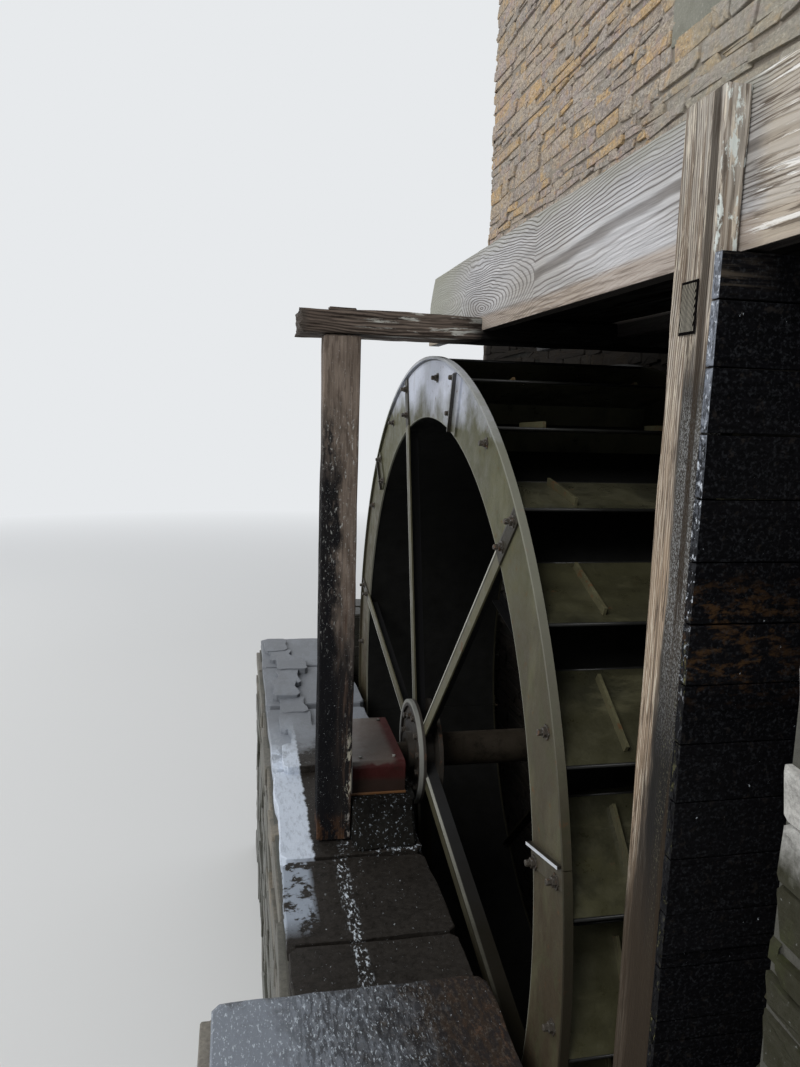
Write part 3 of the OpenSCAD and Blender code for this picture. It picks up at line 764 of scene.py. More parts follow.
@dataclass(frozen=True)
class Iron:
    """Metal sheet, casting or paint on metal, with stains and a film of algae."""

    name: str
    colour: Colour
    stain: Colour
    coats: Coats = ()
    rough: float = 0.45
    metal: float = 0.4
    pit: float = 0.0006
    coat: float = 0.15
    wash: float = 0.5
    shine: float = 0.5
    streak: Vector = (1.0, 1.0, 1.0)

    def build(self) -> bpy.types.Material:
        """Broad stains and fine mottling over one metal colour."""
        n = Nodes(self.name)
        wide = n.noise(2.6, 6, 0.66, 0.3, n.stretched(self.streak))
        mid, fine = n.noise(17, 5, 0.65), n.noise(150, 4, 0.7)
        colour = n.mix(n.between(wide, 0.38, 0.68, 0.0, self.wash), self.colour, self.stain)
        colour = n.mix(0.4, colour, n.ramp(mid, [(0.3, 0.45), (0.7, 1.1)]), "MULTIPLY")
        colour = n.mix(0.35, colour, n.ramp(fine, [(0.3, 0.5), (0.7, 1.05)]), "MULTIPLY")
        rough: Any = n.between(mid, 0.3, 0.7, self.rough - 0.14, self.rough + 0.18)
        for layer in self.coats:
            colour, rough = layer.lay(n, colour, rough)
        height = n.math("ADD", fine, n.math("MULTIPLY", mid, 0.9))
        return n.finish(colour, rough, n.bump(height, self.pit, 0.7), self.metal, self.coat, self.shine)


@dataclass(frozen=True)
class Glass:
    """Old window glass over a dark room."""

    name: str = "window_glass"
    colour: Colour = (0.055, 0.065, 0.07)

    def build(self) -> bpy.types.Material:
        """A dark, smooth pane with a slight wave."""
        n = Nodes(self.name)
        wave = n.noise(3.0, 2, 0.4)
        return n.finish(self.colour, 0.06, n.bump(wave, 0.004, 0.25), coat=0.3)


RUST = (0.13, 0.055, 0.022)
ALGAE = (0.075, 0.078, 0.045)
# Near black: painted shade on the launder board's underside.
UNDERSIDE_SHADE = (0.012, 0.011, 0.011)
BESIDE_WHEEL: Spans = (("Y", 2.85, 2.45), ("Y", -2.50, -2.10), ("X", -0.10, -0.20))
# Walls beside the wheel near black below about z 3.6 to 4.0: wet from spray, and painted shade under the
# launder.
WET_AND_SHADED_WALL = dict(axis="Z", start=4.00, full=3.62, share=0.98, ragged=0.24, only=BESIDE_WHEEL, scale=2.2)
NEAR_SLAB: Spans = (("Y", -1.06, -1.13),)
PAST_POST: Spans = (("Y", -0.40, -0.37), ("Y", 0.9, 0.5))
BOARD_END: Span = ("X", -1.2085, -1.2095)
NEAR_EDGE: Span = ("Y", -1.735, -1.742)
SAWN_END: Spans = (("Y", -1.74, -1.78),)

WALL_COLOURS = (
    (0.36, 0.31, 0.29), (0.46, 0.37, 0.27), (0.33, 0.285, 0.26), (0.49, 0.405, 0.31), (0.41, 0.345, 0.32),
    (0.58, 0.39, 0.19), (0.36, 0.325, 0.285), (0.45, 0.39, 0.34))
WALL_COATS: Coats = (
    Patch(40, 0.52, 0.60, (0.150, 0.120, 0.100), 0.65, 0, (1, 1, 2.2)),
    Patch(60, 0.55, 0.62, (0.68, 0.61, 0.50), 0.6, 0, (1, 1, 1.8)),
    Patch(13, 0.54, 0.66, (0.56, 0.34, 0.13), 0.5, 0, (1, 1, 1.6)),
    Patch(9, 0.56, 0.66, (0.36, 0.27, 0.27), 0.5, 0, (1, 1, 1.6)),
    Tint("Y", 0.35, 0.05, (0.33, 0.325, 0.27), 0.45, 0.2),
    Tint("Z", 0.85, -0.2, (0.10, 0.10, 0.070), 0.8, 0.45, scale=2.5),
    Patch(3, 0.52, 0.66, (0.17, 0.16, 0.125), 0.5, 0, (1, 1, 0.5), (("Z", 1.6, 0.6),)),
    # Wet stone and painted shade beside the wheel.
    Tint(colour=(0.010, 0.009, 0.008), **WET_AND_SHADED_WALL))
# Pit stone darker towards the floor. Near black on the faces inside the pit: painted shade.
PIT_COATS: Coats = (
    Tint("Z", 1.5, 0.9, (0.03, 0.032, 0.022), 0.8, 0.3, -0.25),
    Tint("X", -1.36, -1.30, (0.016, 0.015, 0.012), 0.95, 0.02, -0.2))
PIER_COATS: Coats = (
    Tint("Z", 2.42, 2.33, (0.020, 0.019, 0.008), 0.96, 0.04, -0.1),
    Patch(9, 0.52, 0.66, (0.045, 0.050, 0.020), 0.6, only=(("Z", 2.36, 2.28),)),
    # Pale spots: painted glints on the wet pier stones.
    Patch(110, 0.64, 0.69, (0.30, 0.31, 0.30), 0.6))
# On the wet flags the pale blue-grey sheen, the bright strip and the pale spots are painted sky reflections
# and painted glints. The browns, rust and dark lines are the stones' own colour.
FLAG_COATS: Coats = (
    Tint("X", -1.56, -1.40, (0.038, 0.025, 0.017), 0.8, 0.10, only=NEAR_SLAB),
    Patch(130, 0.52, 0.60, (0.085, 0.070, 0.058), 0.6, 0, (1.0, 0.7, 1.0), NEAR_SLAB),
    Patch(30, 0.55, 0.66, (0.10, 0.050, 0.026), 0.6, only=(*NEAR_SLAB, ("X", -1.48, -1.38))),
    # Pale blue-grey on the near slab's left part: painted sky reflection on the wet stone.
    Tint("X", -1.50, -1.88, (0.25, 0.28, 0.325), 0.75, 0.14, only=NEAR_SLAB, scale=14),
    Patch(95, 0.47, 0.55, (0.016, 0.016, 0.018), 0.70, 0, (1.0, 0.25, 1.0),
          (*NEAR_SLAB, ("X", -1.88, -1.78))),
    # Pale spots here and in the next three coats: painted glints on the wet stone.
    Patch(190, 0.57, 0.63, (0.60, 0.66, 0.72), 0.7, 0, (1.0, 0.35, 1.0),
          (*NEAR_SLAB, ("X", -1.46, -1.58))),
    Patch(110, 0.55, 0.59, (0.66, 0.72, 0.78), 0.9, 0, (1.0, 0.45, 1.0),
          (("X", -1.592, -1.604), ("X", -1.645, -1.625), ("Y", -0.36, -0.42), ("Y", -1.12, -1.0))),
    Patch(60, 0.575, 0.61, (0.60, 0.66, 0.72), 0.9, 0, (1.0, 0.8, 1.0),
          (("X", -1.62, -1.58), ("Y", -0.40, -0.36), ("Y", 0.10, 0.0))),
    Patch(120, 0.66, 0.69, (0.56, 0.60, 0.64), 0.85, 0, (1.0, 0.6, 1.0)),
    # Pale blue-grey on the second slab's left part: painted sky reflection.
    Patch(17, 0.46, 0.52, (0.34, 0.39, 0.46), 0.8,
          only=(("X", -1.715, -1.735), ("Y", -0.37, -0.40), ("Y", -0.80, -0.70))),
    # Bright strip and its pale spots left of the post: painted sky reflection on the wet slab.
    Tint("X", -1.700, -1.708, (0.60, 0.66, 0.75), 0.95, 0.008, -0.1, only=PAST_POST, scale=30),
    Patch(42, 0.50, 0.60, (0.33, 0.37, 0.43), 0.55, 0, (1.6, 0.5, 1.0),
          (("X", -1.700, -1.715), *PAST_POST)),
    Patch(9, 0.50, 0.56, (0.10, 0.11, 0.125), 0.6, 0, (1.0, 0.4, 1.0), (("Y", 0.30, 0.45),)),
    Tint("Y", 0.40, 0.60, (0.27, 0.29, 0.32), 0.6, 0.2, scale=9))
GREY_COATS: Coats = (
    Tint("Y", -0.15, 0.30, (0.27, 0.275, 0.22), 0.7, 0.15),
    Tint("Z", 3.47, 3.52, (0.27, 0.265, 0.21), 0.6, 0.02),
    Tint("Z", 3.304, 3.290, (0.34, 0.255, 0.18), 0.60, 0.012, stretch=(1.0, 0.15, 1.0)),
    Patch(120, 0.50, 0.58, (0.10, 0.072, 0.052), 0.6, 0, (1.0, 0.03, 1.0), (("Z", 3.302, 3.294),)),
    Tint("Y", -1.76, -1.80, (0.47, 0.40, 0.31), 0.6, 0.02),
    Patch(60, 0.53, 0.59, (0.085, 0.060, 0.040), 0.8, 0, (1.0, 0.045, 1.0), SAWN_END),
    # Pale spots on the near end: painted highlights on the worn ridges.
    Patch(85, 0.56, 0.60, (0.88, 0.86, 0.82), 0.75, 0, (1.0, 0.06, 1.0), SAWN_END),
    # The board's inner foot below z 3.29 near black: painted shade under the launder.
    Tint("X", -1.1605, -1.1585, UNDERSIDE_SHADE, 0.97, 0.0005, -0.3, only=(("Z", 3.31, 3.29),)))
TAN_COATS: Coats = (
    Tint("Z", 3.10, 2.7, (0.36, 0.25, 0.155), 0.6, 0.3, stretch=(1, 1, 0.15)),
    Patch(70, 0.50, 0.58, (0.14, 0.095, 0.060), 0.65, 0, (1, 1, 0.045)),
    Patch(140, 0.55, 0.60, (0.70, 0.62, 0.50), 0.65, 0, (1, 1, 0.07)),
    Patch(110, 0.55, 0.60, (0.055, 0.038, 0.027), 0.75, 0, (1, 1, 0.07)),
    Patch(55, 0.54, 0.58, (0.66, 0.71, 0.68), 0.9, 0, (1, 1, 0.35), (("Z", 3.22, 3.26), NEAR_EDGE)),
    Tint("Z", 3.13, 3.02, (0.022, 0.020, 0.018), 0.90, 0.03, 0, (1, 1, 0.15), (("Y", -1.678, -1.686),), 12),
    Tint("Z", 2.66, 2.40, (0.020, 0.019, 0.018), 0.92, 0.05, 0, (1, 1, 0.15), (("Y", -1.668, -1.680),), 12),
    Tint("Z", 2.40, 2.20, (0.020, 0.019, 0.018), 0.90, 0.04, 0, (1, 1, 0.15), (("Y", -1.642, -1.654),), 12),
    # Pale grains on the wet dark half: painted glints of droplets.
    Patch(400, 0.49, 0.57, (0.34, 0.35, 0.35), 0.6, 0, (1, 1, 0.6),
          (("Z", 3.05, 2.98), ("Z", 2.36, 2.62), ("Y", -1.680, -1.690))),
    Patch(300, 0.57, 0.61, (0.16, 0.15, 0.09), 0.6, 0, (1, 1, 0.6),
          (("Z", 2.6, 2.3), ("Y", -1.700, -1.715))),
    Tint("Z", 2.24, 2.00, (0.038, 0.028, 0.019), 0.92, 0.12, 0, (1, 1, 0.12), scale=9),
    Patch(75, 0.62, 0.67, (0.26, 0.25, 0.11), 0.6, 0, (1, 1, 0.4), (("Z", 2.7, 2.3), NEAR_EDGE)))
# The pale spots and streaks among these coats are painted glints on the wet timber.
BLACK_COATS: Coats = (
    Patch(90, 0.52, 0.60, (0.060, 0.044, 0.034), 0.6, 0, (1, 1, 0.12)),
    Patch(45, 0.46, 0.56, (0.010, 0.010, 0.011), 0.85, 0, (1, 1, 0.35),
          (("X", -1.61, -1.65), ("Z", 3.02, 2.9))),
    Tint("Z", 3.00, 2.70, (0.009, 0.009, 0.010), 0.96, 0.06, 0, (1, 1, 0.4), (("X", -1.620, -1.645),), 24),
    Patch(120, 0.60, 0.65, (0.40, 0.40, 0.38), 0.7, 0, (1, 1, 0.4), (("Z", 3.05, 2.95),)),
    Tint("Z", 2.42, 2.10, (0.009, 0.009, 0.010), 0.95, 0.16, 0, (1, 1, 0.3), scale=9),
    Patch(70, 0.53, 0.60, (0.085, 0.052, 0.036), 0.6, 0, (1, 1, 0.06),
          (("X", -1.63, -1.60), ("Z", 2.5, 2.3))),
    Patch(60, 0.60, 0.64, (0.40, 0.37, 0.33), 0.8, 0, (1, 1, 0.3), (("X", -1.60, -1.575), ("Z", 2.3, 2.0))),
    Patch(48, 0.54, 0.57, (0.42, 0.39, 0.31), 0.9, 0, (1, 1, 0.35),
          (("X", -1.595, -1.580), ("Z", 1.90, 1.75), ("Z", 1.56, 1.60))),
    Patch(190, 0.64, 0.68, (0.42, 0.44, 0.45), 0.7),
    Patch(30, 0.48, 0.62, (0.11, 0.050, 0.020), 0.6, 0, (1, 1, 0.5), (("Z", 1.56, 1.50),)))
BEAM_COATS: Coats = (
    Patch(110, 0.52, 0.60, (0.018, 0.013, 0.010), 0.75, 0, (0.08, 1, 1)),
    Patch(30, 0.555, 0.60, (0.42, 0.42, 0.38), 0.85, 0, (0.18, 1, 1), (("X", -1.60, -1.52),)),
    Tint("X", -1.735, -1.755, (0.055, 0.045, 0.037), 0.95, 0.008),
    # Near black past X -1.15, where the beams run under the launder: painted shade.
    Tint("X", -1.25, -1.15, (0.005, 0.005, 0.005), 0.98, 0.04))
WET_STAINS_AND_GLINTS: Coats = (
    Patch(46, 0.50, 0.62, (0.070, 0.037, 0.015), 0.6, 0, (0.6, 1, 1.3),
          (("Z", 2.48, 2.56), ("Z", 2.74, 2.66), ("X", -0.90, -1.10))),
    # Fine and large pale spots: painted glints on the wet boards.
    Patch(150, 0.52, 0.66, (0.034, 0.036, 0.040), 0.45),
    Patch(75, 0.705, 0.72, (0.60, 0.65, 0.70), 0.85, 0, (1, 1, 0.6)),
    Patch(48, 0.58, 0.66, (0.020, 0.017, 0.015), 0.6),
    Patch(70, 0.48, 0.62, (0.085, 0.068, 0.050), 0.6, 0, (0.06, 1, 1),
          (("Z", 3.168, 3.176), ("X", -1.10, -1.20))),
    Patch(70, 0.56, 0.64, (0.22, 0.21, 0.09), 0.6, 0, (1, 1, 0.5), (BOARD_END, ("Z", 2.75, 2.5))),
    # Board ends paler and bluish above z 2.72: grey end grain, and painted light on the lit ends.
    Tint("X", -1.2085, -1.2095, (0.23, 0.25, 0.29), 0.88, 0.0005, only=(("Z", 2.72, 2.98),)),
    Patch(150, 0.47, 0.56, (0.030, 0.030, 0.032), 0.7, 0, (1, 1, 0.35), (BOARD_END,)),
    Patch(120, 0.46, 0.53, (0.012, 0.012, 0.013), 0.92, 0, (1, 1, 0.6), (BOARD_END, ("Z", 3.06, 2.96))),
    # Pale spots on the ends: painted glints.
    Patch(110, 0.57, 0.62, (0.62, 0.66, 0.72), 0.85, 0, (1, 1, 0.6), (BOARD_END, ("Z", 2.4, 2.7))))
RING_COATS: Coats = (
    Tint("Z", 2.80, 2.35, (0.056, 0.047, 0.032), 0.75, 0.2),
    Tint("Z", 2.15, 1.65, (0.050, 0.037, 0.023), 0.85, 0.3),
    Patch(24, 0.50, 0.60, (0.060, 0.060, 0.032), 0.5, 0, (1, 1, 0.6)),
    # Pale lavender grey at the top: painted sky reflection on the wet top of the ring.
    Tint("Z", 2.93, 3.07, (0.55, 0.58, 0.67), 0.92, 0.08),
    Patch(7, 0.50, 0.72, (0.15, 0.145, 0.085), 0.4, 0, (1.0, 1.0, 0.4)),
    Patch(34, 0.63, 0.70, RUST, 0.75, 0.2),
    Patch(90, 0.62, 0.68, (0.022, 0.019, 0.014), 0.6))
RIM_COATS: Coats = (
    Stripe(1.5100, 1.5150, (0.022, 0.020, 0.014), 0.85),
    # The rim's outer edge paler on its upper part and near black on its lower part: painted light and
    # painted shade.
    Stripe(1.5165, 1.60, (0.24, 0.24, 0.20), 0.6, only=(("Z", 2.1, 2.7),)),
    Stripe(1.5165, 1.60, (0.018, 0.016, 0.011), 0.85, only=(("Z", 2.3, 1.9),)),
    Stripe(1.20, 1.3085, (0.23, 0.23, 0.19), 0.6))
STRAP_COATS: Coats = (
    # Sides of the straps' standing legs darker: painted shade.
    Tint("X", -1.2752, -1.2762, (0.018, 0.015, 0.012), 0.93, 0.0004, -0.1),
    # Near white outer edge on the lower straps' legs: painted highlight.
    Tint("X", -1.2865, -1.2875, (0.66, 0.68, 0.72), 0.95, 0.0003, 0.0,
         only=(("Z", 2.24, 2.18), ("Z", 1.55, 1.62), ("Y", -1.0, -1.1))))
SPOKE_COATS: Coats = (
    Patch(24, 0.62, 0.70, RUST, 0.7, 0.2),
    # Pale line along each spoke's edge above z 1.35: painted highlight.
    Stripe(-0.030, -0.0195, (0.42, 0.42, 0.37), 0.85, along=True, only=(("Z", 1.35, 1.60),)),
    Stripe(-0.0180, -0.0105, (0.018, 0.016, 0.012), 0.85, along=True),
    # Spokes darker where they lie over the ring: painted shade.
    Stripe(1.312, 1.60, (0.026, 0.023, 0.018), 0.93),
    # Inner leg near black: painted shade.
    Tint("X", -1.2665, -1.263, (0.010, 0.010, 0.012), 0.96, 0.0005),
    # Near black below z 1.58, where the spokes pass under the platform's level: painted shade.
    Tint("Z", 1.58, 1.40, (0.012, 0.010, 0.006), 0.97, 0.03, 0.3))
BUCKET_COATS: Coats = (
    Tint("Z", 2.62, 2.85, (0.11, 0.105, 0.070), 0.5, 0.1),
    Patch(4, 0.46, 0.60, (0.022, 0.022, 0.015), 0.7),
    Patch(8, 0.56, 0.70, (0.14, 0.13, 0.075), 0.7, 0, (0.3, 1, 1)),
    Patch(26, 0.66, 0.72, RUST, 0.6, 0.2))
RED_COATS: Coats = (
    Tint("Z", 1.655, 1.635, (0.020, 0.019, 0.014), 0.7, 0.012),
    Tint("Z", 1.700, 1.707, (0.072, 0.060, 0.048), 0.75, 0.006, only=(("X", -1.385, -1.41),), scale=20),
    Patch(14, 0.60, 0.68, (0.02, 0.016, 0.012), 0.6))


class Finish(Enum):
    """Every finish of the mill."""

    WALL = Stone("wall_stone", WALL_COLOURS, 0.0030, 0.9, WALL_COATS, shine=0.05)
    WALL_MORTAR = Mortar(
        "wall_mortar", (0.33, 0.285, 0.23), (0.22, 0.195, 0.155), 0.006,
        # Mortar beside the wheel near black: wet, and painted shade under the launder.
        coats=(Tint(colour=(0.006, 0.006, 0.005), **WET_AND_SHADED_WALL),))
    RENDER = Mortar(
        "cement_render", (0.29, 0.285, 0.235), (0.20, 0.205, 0.165), 0.006,
        coats=(Patch(14, 0.50, 0.62, (0.18, 0.175, 0.135), 0.5),
               Patch(60, 0.60, 0.66, (0.42, 0.41, 0.35), 0.5)))
    PIT = Stone(
        "pit_stone", ((0.15, 0.14, 0.12), (0.21, 0.19, 0.16), (0.12, 0.115, 0.10), (0.25, 0.21, 0.16)),
        0.0016, 0.6, PIT_COATS, blotch=ALGAE)
    PIT_MORTAR = Mortar("pit_mortar", (0.10, 0.095, 0.08), (0.05, 0.055, 0.04), 0.005, 0.75)
    PLINTH = Stone(
        "wet_plinth_painted_glints", ((0.009, 0.0085, 0.008), (0.016, 0.015, 0.013)), 0.0015, 0.6,
        # Pale spots: painted glints on the wet mortar.
        (Patch(85, 0.60, 0.65, (0.40, 0.45, 0.50), 0.7),), shine=0.08, blotch=(0.018, 0.017, 0.013))
    PIER = Stone(
        "pier_stone", ((0.44, 0.43, 0.41), (0.34, 0.33, 0.31), (0.56, 0.55, 0.52), (0.40, 0.38, 0.35)),
        0.0022, 0.75, PIER_COATS, shine=0.1)
    # Wet flagstone, with painted sky reflections and glints in its coats.
    FLAG = Stone(
        "wet_flagstone_painted_sheen", ((0.016, 0.015, 0.013), (0.025, 0.022, 0.019), (0.012, 0.012, 0.012)),
        0.0024, 0.5, FLAG_COATS, shine=0.2, blotch=(0.034, 0.028, 0.023))
    DRESSED = Stone(
        "dressed_stone", ((0.27, 0.25, 0.215), (0.34, 0.31, 0.26), (0.22, 0.21, 0.185)), 0.0018,
        coats=(Patch(9, 0.56, 0.66, (0.16, 0.155, 0.12), 0.7),
               Patch(40, 0.62, 0.68, (0.42, 0.40, 0.30), 0.6)))
    SLATE = Stone(
        "stone_slate", ((0.20, 0.20, 0.20), (0.27, 0.265, 0.25), (0.23, 0.22, 0.20), (0.32, 0.30, 0.27)),
        0.002, 0.78)
    GREY_TIMBER = Timber(
        "silvered_board", Grain.ALONG_Y,
        (0.63, 0.62, 0.63), (0.115, 0.094, 0.078), (0.47, 0.44, 0.405), 165.0,
        ((0.22, 3.375, 0.9, 0.16), (-0.28, 3.36, 0.5, 0.10)), GREY_COATS,
        ridge=0.0022, contrast=0.95, line=(0.46, 0.10), fibre=(170.0, 0.02))
    # Near black launder floor: soaked, and painted shade under the launder.
    SOAKED_BOARD = Timber(
        "soaked_board_painted_shade", Grain.ALONG_Y, (0.014, 0.013, 0.012), (0.005, 0.004, 0.004), (0.008, 0.008, 0.008),
        90.0, shine=0.1)
    TAN_POST = Timber(
        "tan_post", Grain.ALONG_Z, (0.60, 0.56, 0.50), (0.105, 0.075, 0.050), (0.44, 0.38, 0.31), 130.0,
        coats=TAN_COATS, ridge=0.0022, shine=0.15, fibre=(150.0, 0.022))
    BLACK_POST = Timber(
        "black_post", Grain.ALONG_Z, (0.27, 0.215, 0.175), (0.060, 0.042, 0.030), (0.19, 0.15, 0.12), 110.0,
        coats=BLACK_COATS, ridge=0.0020, shine=0.15, contrast=0.4, fibre=(200.0, 0.03))
    BEAM = Timber(
        "brown_beam", Grain.ALONG_X,
        (0.19, 0.150, 0.122), (0.014, 0.010, 0.008), (0.075, 0.052, 0.040), 110.0,
        coats=BEAM_COATS, ridge=0.0024, shine=0.15, line=(0.7, 0.2))
    # Wet boards, with painted glints in their coats.
    WET_BOARD = Timber(
        "wet_board_painted_glints", Grain.ALONG_X,
        (0.0070, 0.0068, 0.0075), (0.002, 0.002, 0.002), (0.004, 0.004, 0.005), 60.0,
        coats=WET_STAINS_AND_GLINTS, rough=0.65, ridge=0.0028, shine=0.05, contrast=0.25,
        fibre=(130.0, 0.5), cracked=0.3)
    # Near black round the tenons: painted shade in the gaps of the mortises.
    DARK_GAP = Mortar("painted_gap_shade", (0.006, 0.005, 0.005), (0.004, 0.004, 0.004), 0.001)
    TENON = Timber(
        "tenon_end", Grain.ALONG_Z, (0.45, 0.43, 0.37), (0.012, 0.010, 0.008), (0.22, 0.19, 0.14), 200.0,
        ((3.10, -1.715, 0.10, 0.05),), contrast=1.4, line=(0.62, 0.25), shine=0.15)
    FLOOR_BOARD = Timber(
        "floor_board", Grain.ALONG_X, (0.40, 0.31, 0.21), (0.22, 0.16, 0.10), (0.35, 0.26, 0.17))
    RING = Iron(
        "ring_steel", (0.115, 0.113, 0.066), (0.072, 0.068, 0.032), RING_COATS + RIM_COATS,
        0.5, 0.05, pit=0.0009, coat=0.0, wash=0.85, shine=0.12)
    # A darker copy of the ring's steel: painted shade inside the wheel.
    DARK_RING = Iron(
        "inner_ring_steel", (0.030, 0.028, 0.018), (0.018, 0.016, 0.011), rough=0.5, metal=0.1, shine=0.12)
    SPOKE = Iron(
        "spoke_steel", (0.120, 0.112, 0.066), (0.066, 0.056, 0.030), SPOKE_COATS,
        0.45, 0.0, coat=0.0, wash=0.8, shine=0.22)
    BUCKET = Iron(
        "bucket_steel", (0.078, 0.074, 0.038), (0.036, 0.034, 0.020), BUCKET_COATS,
        0.36, 0.2, wash=0.85, shine=0.4, streak=(0.35, 1.0, 1.0))
    # Brighter than the buckets' steel: painted highlight on the ribs.
    RIB = Iron(
        "rib_steel", (0.15, 0.14, 0.078), (0.060, 0.054, 0.030), (Patch(30, 0.56, 0.64, RUST, 0.7),),
        0.45, 0.2, wash=0.9, shine=0.25)
    # Near black: painted shade inside the wheel and along the buckets' bends and lips.
    SOLE = Iron("sole_steel", (0.016, 0.016, 0.015), (0.009, 0.009, 0.008), rough=0.5, metal=0.1, shine=0.2)
    CAST = Iron(
        "cast_iron", (0.055, 0.048, 0.040), (0.030, 0.023, 0.017),
        (Patch(22, 0.6, 0.68, RUST, 0.6, 0.2),
         Stripe(0.187, 0.21, (0.34, 0.34, 0.31), 0.75, only=(("X", -1.283, -1.286),))),
        0.5, 0.3, shine=0.25)
    AXLE = Iron(
        "axle_iron", (0.040, 0.032, 0.023), (0.016, 0.012, 0.009),
        (Patch(16, 0.5, 0.62, (0.012, 0.010, 0.008), 0.7),), 0.55, 0.1, coat=0.0, shine=0.15)
    BOLT = Iron(
        "bolt_iron", (0.070, 0.060, 0.048), (0.030, 0.024, 0.018),
        # Pale spots: painted glints on the wet bolts.
        (Patch(80, 0.56, 0.64, RUST, 0.5, 0.2), Patch(220, 0.60, 0.66, (0.45, 0.46, 0.46), 0.7)),
        0.5, shine=0.25)
    BRIGHT = Iron(
        "strap_steel", (0.100, 0.098, 0.064), (0.074, 0.068, 0.036), RING_COATS + STRAP_COATS,
        0.42, 0.25, shine=0.35)
    RED = Iron(
        "aged_red", (0.062, 0.014, 0.013), (0.034, 0.012, 0.010), RED_COATS,
        0.42, 0.0, wash=0.9, shine=0.35)
    ORANGE = Iron("orange_strip", (0.16, 0.07, 0.02), (0.08, 0.035, 0.013), rough=0.5, metal=0.0)
    WHITE = Mortar("aged_white", (0.66, 0.66, 0.62), (0.50, 0.49, 0.44), 0.0005, 0.6)
    GREEN = Mortar("aged_green", (0.10, 0.19, 0.155), (0.07, 0.12, 0.10), 0.0006, 0.6)
    GLASS = Glass()

    def material(self) -> bpy.types.Material:
        """The finish as a material, built once."""
        found = bpy.data.materials.get(self.value.name)
        return found or self.value.build()


# Pieces


def put(name: str, solid: Solid, finish: Finish, body: Body = Body.MILL,
        replaces: Sequence[str] = (), smooth: bool = False) -> bpy.types.Object:
    """Makes a mesh object of a solid and ties it to its body.

    Args:
        name: Name of the piece.
        solid: Its points and faces.
        finish: Its finish.
        body: The body that it rides on.
        replaces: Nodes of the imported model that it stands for.
        smooth: Whether its faces are shaded smooth.

    Returns:
        The new object, at the origin.
    """
    mesh = bpy.data.meshes.new(name)
    points = np.ascontiguousarray(solid.points.reshape(-1, 3), np.float32)
    points[:, 2] = np.maximum(points[:, 2], 0.0)
    faces = [f for f in solid.faces if len(f)]
    sizes = np.concatenate([np.full(len(f), f.shape[1]) for f in faces])
    mesh.vertices.add(len(points))
    mesh.vertices.foreach_set("co", points.ravel())
    mesh.loops.add(int(sizes.sum()))
    mesh.loops.foreach_set("vertex_index", np.concatenate([f.ravel() for f in faces]).astype(np.int32))
    mesh.polygons.add(len(sizes))
    mesh.polygons.foreach_set("loop_start", np.concatenate([[0], np.cumsum(sizes)[:-1]]).astype(np.int32))
    mesh.polygons.foreach_set("use_smooth", np.full(len(sizes), smooth))
    mesh.update(calc_edges=True)
    mesh.validate()
    tone = solid.tone if solid.tone is not None else np.full(len(points), MIDDLE_TONE)
    mesh.attributes.new("tone", "FLOAT", "POINT").data.foreach_set("value", tone.astype(np.float32))
    mesh.materials.append(finish.material())
    piece = bpy.data.objects.new(name, mesh)
    bpy.context.scene.collection.objects.link(piece)
    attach(piece, body.value)
    if replaces:
        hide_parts(*replaces)
    LOG.info("%s: %d faces", name, len(sizes))
    return piece


def bevel(piece: bpy.types.Object, width: float, segments: int = 2) -> None:
    """Eases the sharp edges of a piece by a modifier."""
    tool = piece.modifiers.new("ease", "BEVEL")
    tool.width, tool.segments, tool.limit_method = width, segments, "ANGLE"


class Assembly:
    """A sub-assembly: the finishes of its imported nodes, and the pieces built around them."""

    painted: tuple[tuple[tuple[str, ...], Finish], ...] = ()

    def dress(self, nodes: dict[str, Any]) -> None:
        """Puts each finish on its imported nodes.

        Args:
            nodes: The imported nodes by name.
        """
        for names, finish in self.painted:
            for name in names:
                mesh = nodes[name].data
                mesh.materials.clear()
                mesh.materials.append(finish.material())

    def build(self) -> None:
        """Builds the pieces; each sub-assembly says which."""
        raise NotImplementedError


# Masonry


